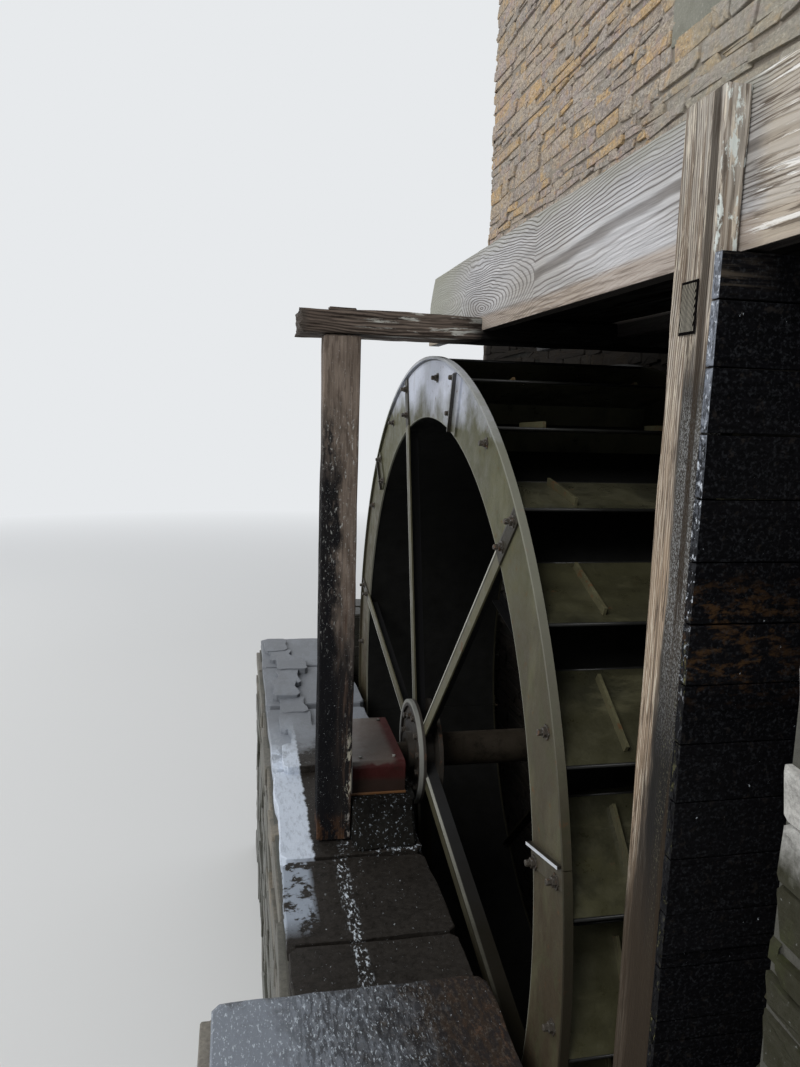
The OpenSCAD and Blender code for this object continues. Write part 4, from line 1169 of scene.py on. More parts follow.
@dataclass
class Coursed:
    """A face covered by blocks in courses, such as rubble, slates or coping stones."""

    origin: Vector
    out: Vector
    width: float
    height: float
    up: Vector = (0.0, 0.0, 1.0)
    course: tuple[float, float] = (0.028, 0.080)
    block: tuple[float, float] = (0.09, 0.37)
    relief: tuple[float, float] = (0.003, 0.021)
    joint: float = 0.006
    depth: float = 0.02
    ease: float = 0.004
    jitter: float = 0.0018
    skewed: float = 0.12
    seed: int = 1
    openings: Sequence[Rectangle] = ()
    limits: Callable[[float], tuple[float, float]] | None = None
    tilt: float = 0.0
    bed_margin: float = 0.05
    shortest_run: float = 0.02
    narrowest: float = 0.03
    widths: tuple[float, ...] = (0.6, 1.0, 1.3)
    most_lean: float = 0.012
    corner_cut: float = 0.016

    def levels(self) -> Array:
        """Heights of the courses' beds, which meet the foot and head of every opening.

        Returns:
            The beds from the lowest to the highest.
        """
        rng = np.random.default_rng(self.seed)
        marks = {0.0, self.height}
        low, high = self.bed_margin, self.height - self.bed_margin
        marks |= {v for opening in self.openings for v in opening[2:] if low < v < high}
        fixed = sorted(marks)
        beds = [0.0]
        for a, b in zip(fixed[:-1], fixed[1:]):
            count = max(1, round((b - a) / np.mean(self.course)))
            steps = rng.uniform(*self.course, count)
            beds += list(a + np.cumsum(steps) * (b - a) / steps.sum())
        return np.array(beds)

    def corners(self) -> Array:
        """Cuts each course into blocks, between the openings and inside the limits.

        Returns:
            Blocks by four corners by (u, v), anticlockwise from the lower left.
        """
        rng = np.random.default_rng(self.seed + 1000)
        beds = self.levels()
        found = []
        for v0, v1 in zip(beds[:-1], beds[1:]):
            low, high = (self.limits(v0), self.limits(v1)) if self.limits else ((0, self.width),) * 2
            middle = (v0 + v1) / 2
            cuts = sorted((o[0], o[1]) for o in self.openings if o[2] < middle < o[3])
            edges = [min(low[0], high[0])] + [u for c in cuts for u in c] + [max(low[1], high[1])]
            for a, b in zip(edges[::2], edges[1::2]):
                if b - a < self.shortest_run:
                    continue
                count = max(1, round((b - a) / np.mean(self.block)))
                steps = rng.uniform(*self.block, count) * rng.choice(self.widths, count)
                u = np.concatenate([[a], a + np.cumsum(steps) * (b - a) / steps.sum()])
                foot, head = np.full(count, v0), np.full(count, v1)
                around = ((u[:-1], foot), (u[1:], foot), (u[1:], head), (u[:-1], head))
                box = np.stack([np.stack(corner, -1) for corner in around], 1)
                box[:, :2, 0] = np.clip(box[:, :2, 0], low[0], low[1])
                box[:, 2:, 0] = np.clip(box[:, 2:, 0], high[0], high[1])
                found.append(box)
        return np.concatenate(found)

    def outlines(self, rng: np.random.Generator) -> tuple[Array, Array]:
        """Opens the joints, leans the blocks' edges and cuts their corners off.

        Args:
            rng: Source of the random moves.

        Returns:
            The plain blocks by four corners by (u, v), and the worn ones by eight points by (u, v).
        """
        box = self.corners()
        size = np.minimum(box[:, 1, 0] - box[:, 0, 0], box[:, 2, 0] - box[:, 3, 0])
        plain = box[size > self.narrowest]
        n = len(plain)
        lean = rng.normal(0, self.skewed, (n, 4, 2)) * np.array([0.10, 0.035])
        centre = plain.mean(1, keepdims=True)
        gap = self.joint / 2 * rng.uniform(0.5, 1.6, (n, 4, 1))
        box = plain + np.clip(lean, -self.most_lean, self.most_lean) - np.sign(plain - centre) * gap
        after, before = np.roll(box, -1, 1), np.roll(box, 1, 1)
        tall = np.ptp(plain[:, :, 1], 1)[:, None, None]
        cut = rng.uniform(0.25, 1.0, (n, 4, 1)) * np.minimum(self.corner_cut, 0.28 * tall)
        outline = np.stack([box + unit(before - box) * cut, box + unit(after - box) * cut], 2)
        outline = outline.reshape(n, 8, 2)
        return plain, outline + rng.normal(0, self.jitter, outline.shape)

    def solid(self) -> Solid:
        """Each block is three rings and a middle point: sunk edge, eased arris and raised face.

        Returns:
            All blocks in one mesh, with a random tone for each.
        """
        rng = np.random.default_rng(self.seed + 2000)
        plain, outline = self.outlines(rng)
        n = len(plain)
        middle = outline.mean(1, keepdims=True)
        inner = outline - unit(outline - middle) * self.ease
        raised = rng.uniform(*self.relief, (n, 1))
        slope = rng.normal(0, 0.02, (n, 1, 2))
        lift = raised + np.clip(((inner - middle) * slope).sum(-1), -0.004, 0.004)
        lift = lift + rng.normal(0, self.jitter * 0.6, lift.shape).clip(-0.003, 0.003)
        if self.tilt:
            share = (plain[:, :, 1].max(1)[:, None] - inner[..., 1]) / np.ptp(plain[:, :, 1], 1)[:, None]
            lift = lift + self.tilt * share
        arris = np.maximum(lift - self.ease * 0.8, -self.depth + 0.002)
        rings = np.zeros((n, BLOCK_POINTS, 3))
        for k, (place, height) in enumerate(((outline, -self.depth), (outline, arris), (inner, lift))):
            ring = slice(BLOCK_SIDES * k, BLOCK_SIDES * (k + 1))
            rings[:, ring, :2], rings[:, ring, 2] = place, height
        rings[:, -1, :2], rings[:, -1, 2] = middle[:, 0], lift.mean(1) + rng.uniform(0, 0.003, n)
        up, out = np.array(self.up, float), np.array(self.out, float)
        across = np.cross(up, out)
        flat = np.array(self.origin) + rings[..., :1] * across + rings[..., 1:2] * up
        points = flat + rings[..., 2:] * out
        k, inmost = np.arange(BLOCK_SIDES), 2 * BLOCK_SIDES
        fan = np.stack([inmost + k, inmost + (k + 1) % BLOCK_SIDES, 0 * k + BLOCK_POINTS - 1], -1)
        shift = (np.arange(n) * BLOCK_POINTS)[:, None, None]
        sides = grid_faces(3, BLOCK_SIDES, True)
        faces = [(f[None] + shift).reshape(-1, f.shape[1]) for f in (sides, fan)]
        return Solid(points.reshape(-1, 3), faces, np.repeat(rng.random(n), BLOCK_POINTS))


@dataclass
class MillHouse(Assembly):
    """The mill's walls, openings, roof and floors."""

    half_width: float = 2.54
    face_x: float = -0.30
    far_x: float = 6.20
    eaves: float = 6.20
    pitch: float = 40.0
    window: tuple[float, float] = (0.70, 0.90)
    sills: tuple[float, float] = (1.25, 4.00)
    window_x: tuple[float, float] = (1.55, 4.35)
    door: tuple[float, float] = (1.00, 2.05)
    floor: float = 0.10
    lintel: float = 0.18
    bearing: float = 0.18
    sill: float = 0.08
    set_back: float = 0.11
    frame: float = 0.06
    bar: float = 0.022
    patch: Rectangle = (-0.62, 0.18, 4.42, 5.50)
    bearing_hole: Rectangle = (2.39, 2.69, 1.50, 1.80)
    slab: float = 0.11
    eaves_out: float = 0.09
    skew: float = 0.32
    skew_up: float = 0.07
    ridge_up: float = 0.06
    ridge_leg: float = 0.26
    door_boards: int = 6
    board_gap: float = 0.002
    painted = (
        (("wheel_gable", "far_gable", "near_side_wall", "far_side_wall"), Finish.WALL_MORTAR),
        (("stone_lintels", "window_sills", "gable_skews", "roof_ridge"), Finish.DRESSED),
        (("roof_slope_near", "roof_slope_far"), Finish.SLATE),
        (("window_frames",), Finish.WHITE),
        (("window_glass",), Finish.GLASS),
        (("door_frame", "door_leaf"), Finish.GREEN),
        (("ground_floor",), Finish.FLAG),
        (("upper_floor",), Finish.FLOOR_BOARD))

    @property
    def angle(self) -> float:
        """Pitch of the roof in radians."""
        return math.radians(self.pitch)

    @property
    def run(self) -> float:
        """Level distance from the ridge to the edge of the eaves."""
        return self.half_width + self.eaves_out

    @property
    def slates_foot(self) -> float:
        """Height of the slates at the edge of the eaves."""
        return self.eaves - self.eaves_out * math.tan(self.angle) + self.slab / math.cos(self.angle)

    def slope(self, side: int) -> tuple[Vector, Vector]:
        """Outward and upward directions of the near slope, for side -1, or of the far one, for side 1."""
        a = self.angle
        return (0.0, side * math.sin(a), math.cos(a)), (0.0, -side * math.cos(a), math.sin(a))

    def inside_skews(self, side: int) -> float:
        """X at which a slope's courses start, just past the skew of one gable."""
        return self.face_x + self.skew if side < 0 else self.far_x - self.skew

    def gable_limits(self, v: float) -> tuple[float, float]:
        """How far a gable's course reaches at a height: straight to the eaves, then in along the roof."""
        inset = max(0.0, v - self.eaves) / math.tan(self.angle)
        return min(inset, self.half_width - 0.01), max(2 * self.half_width - inset, self.half_width + 0.01)

    def hole(self, u: float, v: float, w: float, h: float, sill: float) -> list[Rectangle]:
        """Rectangles left free of rubble round an opening.

        Args:
            u: Middle of the opening along the wall.
            v: Its foot.
            w: Its width.
            h: Its height.
            sill: Height of the sill under it.

        Returns:
            The opening with its sill, and its lintel.
        """
        wide = w / 2 + self.bearing
        return [(u - w / 2, u + w / 2, v - sill, v + h), (u - wide, u + wide, v + h, v + h + self.lintel)]

    def build_walls(self) -> None:
        """Covers the four walls with coursed rubble, and lays the patch of cement on the wheel's gable."""
        half, wide, long = self.half_width, 2 * self.half_width, self.far_x - self.face_x
        gable_top = self.eaves + half * math.tan(self.angle) - 0.03
        side_top = self.eaves - 0.08
        places = [(x, z) for x in self.window_x for z in self.sills]
        near = [r for x, z in places for r in self.hole(x - self.face_x, z, *self.window, self.sill)]
        far = [r for x, z in places for r in self.hole(self.far_x - x, z, *self.window, self.sill)]
        end = self.hole(half, self.sills[1], *self.window, self.sill)
        end += self.hole(half, self.floor, *self.door, 0.0)
        y0, y1, z0, z1 = self.patch
        wheel_side = [(half - y1, half - y0, z0, z1), self.bearing_hole]
        limits = self.gable_limits
        rows = (("gable_rubble", self.face_x, half, (-1, 0, 0), wide, gable_top, wheel_side, limits),
                ("far_gable_rubble", self.far_x, -half, (1, 0, 0), wide, gable_top, end, limits),
                ("near_wall_rubble", self.face_x, -half, (0, -1, 0), long, side_top, near, None),
                ("far_wall_rubble", self.far_x, half, (0, 1, 0), long, side_top, far, None))
        for seed, (name, x, y, out, width, height, openings, ends) in enumerate(rows, 11):
            face = Coursed((x, y, 0), out, width, height, relief=(0.002, 0.015), joint=0.005, jitter=0.0034,
                           skewed=0.20, seed=seed, openings=openings, limits=ends)
            put(name, face.solid(), Finish.WALL)
        panel = brick((self.face_x - 0.006, y0 - 0.02, z0 - 0.02),
                      (self.face_x + 0.05, y1 + 0.01, z1 + 0.02))
        bevel(put("cement_patch", panel, Finish.RENDER), 0.004)

    def build_slates(self) -> None:
        """Lays slates on both slopes, between the skews."""
        wide = self.far_x - self.face_x - 2 * self.skew
        for name, side in (("near_slates", -1), ("far_slates", 1)):
            out, up = self.slope(side)
            start = (self.inside_skews(side), side * self.run, self.slates_foot)
            slates = Coursed(start, out, wide, self.run / math.cos(self.angle) - 0.12, up=up,
                             course=(0.17, 0.24), block=(0.20, 0.44), relief=(0.004, 0.009),
                             joint=0.004, depth=0.004, ease=0.003, skewed=0.05, seed=31 + side,
                             tilt=0.020, jitter=0.001)
            put(name, slates.solid(), Finish.SLATE)

    def build_copings(self) -> None:
        """Covers the gables' skews and the ridge with single coping stones, end to end."""
        cos, gap = math.cos(self.angle), 0.004
        skew_z = self.slates_foot + self.skew_up / cos
        reach = self.ridge_leg * cos
        ridge_z = self.slates_foot + self.ridge_up / cos + (self.run - reach) * math.tan(self.angle)
        wide = self.far_x - self.face_x - 2 * self.skew
        size = dict(relief=(0.003, 0.008), joint=0.007, depth=0.005, ease=0.006, skewed=0.0, jitter=0.0012)
        stones = []
        for side in (-1, 1):
            out, up = self.slope(side)
            for k, x in enumerate((self.face_x, self.far_x - self.skew)):
                start = (x if side < 0 else x + self.skew, side * self.run, skew_z)
                stones.append(Coursed(start, out, self.skew, self.run / cos - gap, up=up,
                                      course=(0.40, 0.64), block=(0.32, 0.33),
                                      seed=81 + k + side, **size))
            stones.append(Coursed((self.inside_skews(side), side * reach, ridge_z), out, wide,
                                  self.ridge_leg - gap, up=up, course=(0.26, 0.27), block=(0.40, 0.70),
                                  seed=85 + side, **size))
        put("coping_stones", together(s.solid() for s in stones), Finish.DRESSED)

    def build_windows(self) -> None:
        """Puts one upright and two level bars before the glass of each window."""
        w, h = self.window
        back, half, inside = self.set_back + 0.02, self.bar / 2, w / 2 - self.frame
        bars = [(-half, half, self.frame, h - self.frame)]
        bars += [(-inside, inside, v - half, v + half) for v in (h / 3, 2 * h / 3)]
        places = [((x, s * self.half_width), (1.0, 0.0), (0.0, float(s)), z)
                  for x in self.window_x for z in self.sills for s in (-1, 1)]
        places.append(((self.far_x, 0.0), (0.0, 1.0), (1.0, 0.0), self.sills[1]))
        solids = []
        for (px, py), along, out, z in places:
            for u0, u1, v0, v1 in bars:
                ends = [(px + along[0] * u + out[0] * d, py + along[1] * u + out[1] * d, z + v)
                        for u, d, v in ((u0, -back, v0), (u1, -back - 0.03, v1))]
                solids.append(brick(np.minimum(*ends), np.maximum(*ends)))
        bevel(put("window_bars", together(solids), Finish.WHITE), 0.003)

    @staticmethod
    def hinge_strap(x: float, y: Array, z: float) -> list[Solid]:
        """One strap hinge: a flat bar that narrows to a point, and the heads of its rivets.

        Args:
            x: Where the strap's back lies.
            y: Places of the bar's sections.
            z: Height of its middle line.

        Returns:
            The bar and the heads.
        """
        half = 0.024 - 0.010 * (y - y[0]) / (y[-1] - y[0])
        half[-1] = 0.004
        corners = ((0, 1), (0, -1), (1, -1), (1, 1))
        rings = np.stack([np.stack([np.full(len(y), x + 0.006 * sx), y, z + sz * half], -1)
                          for sx, sz in corners], 1)
        heads = np.stack([np.full(5, x + 0.006), y[1:11:2], np.full(5, z)], -1)
        return [loft(rings[:, ::-1]), copies(bolt_head(0.009, 0.006, 8).mirrored_x(0), heads)]

    @staticmethod
    def handle_ring(radius: float = 0.045, thick: float = 0.006, steps: int = 24, sides: int = 6) -> Solid:
        """A ring handle that hangs flat against the door, about its own centre."""
        angle = np.linspace(0, 2 * math.pi, steps + 1)[:-1]
        circle = np.stack([0 * angle, radius * np.sin(angle), radius * np.cos(angle)], -1)
        radial = unit(circle)
        turns = np.arange(sides) * 2 * math.pi / sides
        ring = np.stack([circle + thick * (math.cos(b) * radial + math.sin(b) * np.array([1, 0, 0]))
                         for b in turns], 1)
        k = np.arange(sides)
        after, end = (k + 1) % sides, (steps - 1) * sides
        seam = np.stack([end + k, end + after, after, k], -1)
        return Solid(ring.reshape(-1, 3), [grid_faces(steps, sides, True), seam])

    def build_door(self) -> None:
        """Boards, strap hinges and a ring handle with its plate on the door's leaf."""
        low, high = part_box("door_leaf")
        wide, gap = (high.y - low.y) / self.door_boards, self.board_gap
        boards = [brick((high.x - 0.004, low.y + k * wide + gap, low.z + 0.003),
                        (high.x + 0.008, low.y + (k + 1) * wide - gap, high.z - 0.003))
                  for k in range(self.door_boards)]
        bevel(put("door_boards", together(boards), Finish.GREEN), 0.003)
        y = np.linspace(low.y + 0.01, high.y - 0.20, 12)
        iron = [s for z in (low.z + 0.30, high.z - 0.30) for s in self.hinge_strap(high.x + 0.007, y, z)]
        iron.append(self.handle_ring().moved((high.x + 0.022, high.y - 0.10, low.z + 1.0)))
        iron.append(brick((high.x + 0.006, high.y - 0.125, low.z + 0.93),
                          (high.x + 0.014, high.y - 0.075, low.z + 1.10)))
        put("door_ironwork", together(iron), Finish.CAST)

    def build(self) -> None:
        """Builds the walls' stones, the slates, the copings, the windows' bars and the door."""
        self.build_walls()
        self.build_slates()
        self.build_copings()
        self.build_windows()
        self.build_door()


def at_height(outline: Array, z: float) -> Array:
    """An outline by (x, y) as points at one height."""
    return np.concatenate([outline, np.full((len(outline), 1), z)], -1)


@dataclass
class WheelPit(Assembly):
    """The pit's walls, the platform beside the wheel and the near pier."""

    pit_x: float = -1.31
    wall_x: float = -0.30
    platform: float = 1.45
    near_slab: float = 1.52
    step_y: float = -1.10
    near_y: float = -2.30
    far_y: float = 2.30
    width: float = 0.515
    near_width: float = 0.725
    slab: float = 0.07
    end_top: float = 1.70
    end_thick: float = 0.4
    tail: tuple[float, float] = (-1.085, -0.525)
    tail_height: float = 0.70
    joints: tuple[float, ...] = (-1.10, -0.835, -0.38, 0.33, 1.06, 1.70, 2.30)
    raised_from: int = 4
    raised: float = 0.012
    broken_stones: int = 9
    first_broken: float = 0.42
    broken_step: float = 0.21
    edge_step: float = 0.035
    worn: float = 0.007
    painted = ((("outer_pit_wall", "pit_end_wall", "near_pier"), Finish.PIT_MORTAR),)
    top_rings: tuple[float, ...] = (0.93, 0.85, 0.75, 0.64, 0.52, 0.4, 0.27, 0.14, 0.04)

    def build_side(self) -> None:
        """Covers the outer pit wall with rubble on every side that shows."""
        x0, x1, px = self.pit_x - self.width, self.pit_x - self.near_width, self.pit_x
        top, near_top = self.platform - self.slab, self.near_slab - self.slab
        short = self.step_y - self.near_y
        long = self.far_y - self.step_y
        split, lower = 0.4, 0.08
        proud, flat = (0.006, 0.022), (0.003, 0.010)
        rows = ((x0, self.far_y, (-1, 0, 0), long, top, proud),
                (x1, self.step_y, (-1, 0, 0), short, near_top, proud),
                (x1, self.near_y, (0, -1, 0), self.near_width, near_top, proud),
                (x0, self.step_y, (0, 1, 0), self.near_width - self.width, near_top, proud),
                (px, self.far_y, (0, 1, 0), self.width, top, proud),
                (px, self.near_y, (1, 0, 0), short + split, near_top - lower, flat),
                (px, self.near_y + short + split, (1, 0, 0), long - split, top, flat))
        faces = [Coursed((x, y, 0), out, wide, tall, course=(0.05, 0.13), block=(0.18, 0.5),
                         relief=relief, seed=seed)
                 for seed, (x, y, out, wide, tall, relief) in enumerate(rows, 41)]
        put("pit_rubble", together(f.solid() for f in faces), Finish.PIT)

    def build_end(self) -> None:
        """Covers the end wall with rubble on its faces, its free end and its top."""
        px, wide = self.pit_x, self.wall_x - self.pit_x
        u0, u1 = (x - px for x in self.tail)
        inner = [(u0, u1, 0.0, self.tail_height)]
        outer = [(wide - u1, wide - u0, 0.0, self.tail_height)]
        inner_y, over = self.far_y - self.end_thick, self.end_top - self.platform
        size = dict(course=(0.06, 0.12), block=(0.2, 0.5), relief=(0.006, 0.02))
        faces = [
            Coursed((px, inner_y, 0), (0, -1, 0), wide, self.end_top,
                    seed=51, openings=inner, **size),
            Coursed((self.wall_x, self.far_y, 0), (0, 1, 0), wide, self.end_top,
                    seed=52, openings=outer, **size),
            Coursed((px, self.far_y, self.platform), (-1, 0, 0), self.end_thick, over, seed=53,
                    course=(0.06, 0.12), block=(0.16, 0.4), relief=(0.006, 0.014)),
            Coursed((px, inner_y, self.end_top), (0, 0, 1), wide, self.end_thick, up=(0.0, 1.0, 0.0),
                    seed=54, course=(0.12, 0.2), block=(0.2, 0.5), relief=(0.006, 0.02), ease=0.01)]
        put("end_wall_rubble", together(f.solid() for f in faces), Finish.PIT)

    def build_pier(self) -> None:
        """Covers the near pier with larger stones and a cap of flat ones."""
        low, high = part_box("near_pier")
        wide, deep, top = high.x - low.x, high.y - low.y, high.z
        rows = ((low.x, low.y, (0, -1, 0), wide),
                (low.x, high.y, (-1, 0, 0), deep),
                (high.x, high.y, (0, 1, 0), wide))
        faces = [Coursed((x, y, 0), out, across, top, course=(0.05, 0.13), block=(0.16, 0.42),
                         relief=(0.004, 0.018), ease=0.009, joint=0.010, seed=seed)
                 for seed, (x, y, out, across) in enumerate(rows, 61)]
        faces.append(Coursed((low.x, low.y, top), (0, 0, 1), wide, deep, up=(0.0, 1.0, 0.0), seed=64,
                             course=(0.14, 0.16), block=(0.25, 0.45), relief=(0.008, 0.022),
                             ease=0.012, joint=0.010))
        put("pier_rubble", together(f.solid() for f in faces), Finish.PIER)

    def flag(self, low: Sequence[float], high: Sequence[float], seed: int, ragged: float) -> Solid:
        """One flagstone: an outline with rough edges, carried up through five rings to a worn top.

        Args:
            low: Its low corner.
            high: Its high corner.
            seed: Number for its random edges.
            ragged: How far its edges wander in metres.

        Returns:
            The closed stone.
        """
        lo, hi = np.asarray(low, float), np.asarray(high, float)
        size = hi - lo
        n = max(8, int((size[0] + size[1]) * 2 / self.edge_step))
        outline = rounded_outline(size[0], size[1], 0.02, 2, n // 4)
        centre = (lo + hi) / 2
        place = at_height(outline + centre[:2], seed * 3.7)
        outline = outline + unit(outline) * (rough_noise(place, 0.16, seed, 3)[:, None] - 0.6) * ragged
        levels = [(lo[2], 0.985), (lo[2] + size[2] * 0.45, 1.0), (lo[2] + size[2] * 0.55, 0.992),
                  (hi[2] - 0.008, 0.996), (hi[2], 0.982)]
        levels += [(hi[2], share) for share in self.top_rings]
        grid = np.stack([at_height(outline * share + centre[:2], z) for z, share in levels])
        top = grid[4:]
        top[..., 2] += (rough_noise(top, 0.22, seed + 5, 4) - 0.7) * self.worn
        return loft(grid)

    def build_platform(self) -> None:
        """Rough-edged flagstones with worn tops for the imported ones, and broken ones on them."""
        x0, foot = self.pit_x - self.width, self.platform - self.slab
        stones = []
        for k, (a, b) in enumerate(zip(self.joints[:-1], self.joints[1:])):
            lift = 0.0 if k < self.raised_from else self.raised
            top = self.platform + lift - 0.002
            stones.append(self.flag((x0, a + 0.005, foot), (self.pit_x, b - 0.003, top), 70 + k, 0.012))
        stones.append(self.flag((self.pit_x - self.near_width, self.near_y, self.near_slab - self.slab),
                                (self.pit_x, self.step_y - 0.006, self.near_slab), 79, 0.02))
        rng = np.random.default_rng(8)
        for k in range(self.broken_stones):
            y = self.first_broken + self.broken_step * k
            x = x0 + rng.uniform(0.02, 0.10)
            wide, thick = rng.uniform(0.13, 0.24), rng.uniform(0.02, 0.05)
            stones.append(self.flag((x, y - 0.14, self.platform - 0.01),
                                    (x + wide, y + 0.13, self.platform + thick), 90 + k, 0.03))
        put("platform_flags", together(stones), Finish.FLAG, replaces=["platform_slabs"])

    def build(self) -> None:
        """Builds the stones of the pit's walls and of the pier, and the flagstones."""
        self.build_side()
        self.build_end()
        self.build_pier()
        self.build_platform()


@dataclass
class Bearing(Assembly):
    """The outer bearing box on its mortar plinth, and the bearing in the wall."""

    box: tuple[float, float] = (-1.555, -1.36)
    width: float = 0.45
    half_height: float = 0.06
    strip_out: float = 0.004
    strip_up: float = 0.008
    bolts_in: tuple[float, float] = (0.035, 0.05)
    drawn_in: float = 0.07
    sections: int = 12
    rough: float = 0.012
    painted = ((("bearing_box",), Finish.RED), (("wall_bearing",), Finish.CAST))

    def build_box(self) -> None:
        """The strip round the box's foot and the bolts on its cover."""
        x0, x1 = self.box
        half, foot, out = self.width / 2, HUB_Z - self.half_height, self.strip_out
        strip = brick((x0 - out, -half - out, foot - 0.001), (x1 + out, half + out, foot + self.strip_up))
        bevel(put("box_strip", strip, Finish.ORANGE), 0.002)
        profile = np.array([[0, 0.007], [0.005, 0.007], [0.006, 0.005]])
        top = HUB_Z + self.half_height
        dx, dy = self.bolts_in
        heads = [turned(profile, 2, (x, y, top), 6)
                 for x in (x0 + dx, x1 - dx) for y in (-half + dy, half - dy)]
        put("box_bolts", together(heads), Finish.CAST)

    def build_plinth(self) -> None:
        """Rough mortar: a long outline carried from foot to top, drawn in and roughened on its way."""
        lo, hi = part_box("bearing_plinth")
        outline = rounded_outline(1.0, 1.0, 0.06, 3, 14)
        rings = []
        for t in np.linspace(0, 1, self.sections):
            half_y = hi.y - self.drawn_in * (1 - (1 - t) ** 2)
            ring = outline * np.array([hi.x - lo.x, 2 * half_y]) + np.array([(lo.x + hi.x) / 2, 0])
            rings.append(at_height(ring, lo.z + t * (hi.z - lo.z)))
        grid = np.stack(rings)
        away = unit((grid - grid.mean(1, keepdims=True)) * np.array([1, 1, 0]))
        grid += away * (rough_noise(grid, 0.09, 5, 4)[..., None] - 0.8) * self.rough
        put("plinth_mortar", loft(grid), Finish.PLINTH, replaces=["bearing_plinth"])

    def build(self) -> None:
        """Builds the strip, the bolts and the mortar."""
        self.build_box()
        self.build_plinth()


@dataclass
class TimberFrame(Assembly):
    """The posts and beams that carry the launder, and the boards across the near end of the pit."""

    seed: int = 200
    outer_x: tuple[float, float] = (-1.21, -1.165)
    inner_x: tuple[float, float] = (-0.635, -0.59)
    near_y: tuple[float, float] = (-1.746, -1.616)
    end_y: tuple[float, float] = (-3.26, -3.13)
    post_top: float = 3.506
    beam_z: tuple[float, float] = (3.10, 3.25)
    beam_half: float = 0.038
    beam_into: float = 0.001
    wall_end: float = -0.15
    tenon_z: tuple[float, float] = (3.126, 3.205)
    tenon_half: float = 0.021
    tenon_gap: float = 0.005
    boards: int = 30
    board_tall: float = 0.105
    board_step: float = 0.107
    first_tall: float = 0.074

    @staticmethod
    def post(low: Sequence[float], high: Sequence[float], seed: int, wear: float = 0.003) -> Solid:
        """One upright timber."""
        return Plank(tuple(low), tuple(high), along=2, wear=wear, ease=0.005, seed=seed).solid()

    def build_outer(self) -> None:
        """The outer post and the rotten cross beam with the splinter on its top."""
        low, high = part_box("outer_post")
        put("outer_post_timber", self.post(low, high, 201, 0.004), Finish.BLACK_POST,
            replaces=["outer_post"])
        low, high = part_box("cross_beam")
        beam = Plank(tuple(low), tuple(high), along=0, wear=0.009, ease=0.008, step=0.02,
                     seed=202).solid()
        end = np.clip(1 - (beam.points[:, 0] - low.x) / 0.05, 0, 1)
        beam.points[:, 0] += end * (value_noise(beam.points * np.array([0, 1, 1]), 0.02, 9) + 1) * 0.012
        splinter = Plank((-1.672, low.y + 0.03, high.z - 0.006),
                         (-1.580, low.y + 0.075, high.z + 0.012), along=0,
                         wear=0.008, ease=0.004, step=0.012, seed=203).solid()
        put("cross_beam_timber", together([beam, splinter]), Finish.BEAM,
            replaces=["cross_beam"])

    def build_launder_posts(self) -> None:
        """The plank posts and the beams under the launder."""
        feet = ((self.outer_x, self.near_y), (self.outer_x, self.end_y), (self.inner_x, self.end_y))
        posts = [self.post((x[0], y[0], 0.0), (x[1], y[1], self.post_top), 210 + k)
                 for k, (x, y) in enumerate(feet)]
        put("launder_post_timbers", together(posts), Finish.TAN_POST,
            replaces=["launder_posts"])
        start = self.outer_x[1] - self.beam_into
        rows = ((sum(self.near_y) / 2, self.wall_end, 221),
                (sum(self.end_y) / 2, self.inner_x[0] + self.beam_into, 222))
        beams = [Plank((start, y - self.beam_half, self.beam_z[0]),
                       (x, y + self.beam_half, self.beam_z[1]), along=0, seed=seed).solid()
                 for y, x, seed in rows]
        put("launder_beam_timbers", together(beams), Finish.BEAM,
            replaces=["launder_beams"])

    def tenon_row(self, proud: float, gap: float) -> Solid:
        """Thin blocks on the posts where the beams' tenons show.

        Args:
            proud: How far each stands out of its post.
            gap: How far it reaches past the tenon on every side.

        Returns:
            The three blocks.
        """
        half, (foot, head) = self.tenon_half + gap, self.tenon_z
        rows = ((self.outer_x[0], -1, self.near_y),
                (self.outer_x[0], -1, self.end_y),
                (self.inner_x[1], 1, self.end_y))
        blocks = []
        for x, side, ends in rows:
            y = sum(ends) / 2
            low, high = sorted((x, x + side * proud))
            blocks.append(brick((low, y - half, foot - gap), (high, y + half, head + gap)))
        return together(blocks)

    def build_splash_boards(self) -> None:
        """Rough boards across the pit, one above the other under a narrow one, each with its own wear."""
        low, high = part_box("splash_boards")
        boards = []
        rng = np.random.default_rng(self.seed)
        for k in range(self.boards):
            first = k == 0
            top = high.z if first else high.z - self.first_tall - k * self.board_step + self.board_tall
            foot = high.z - self.first_tall if first else top - self.board_tall
            plank = Plank((low.x, low.y + rng.uniform(0, 0.002), foot - 0.001), (high.x, high.y, top),
                          along=0, wear=0.0022, ease=0.0012, step=0.03, seed=240 + k).solid()
            plank.tone = np.full(len(plank.points), rng.random())
            boards.append(plank)
        put("splash_board_timbers", together(boards), Finish.WET_BOARD,
            replaces=["splash_boards"])
        batten = self.post(*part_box("wall_batten"), 232)
        put("wall_batten_timber", batten, Finish.WET_BOARD, replaces=["wall_batten"])

    def build(self) -> None:
        """Builds the timber frame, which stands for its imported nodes."""
        self.build_outer()
        self.build_launder_posts()
        # Thin near-black blocks round the tenons: painted shade in the gaps.
        put("tenon_gaps", self.tenon_row(0.0012, self.tenon_gap), Finish.DARK_GAP)
        put("tenon_ends", self.tenon_row(0.003, 0.0), Finish.TENON)
        self.build_splash_boards()


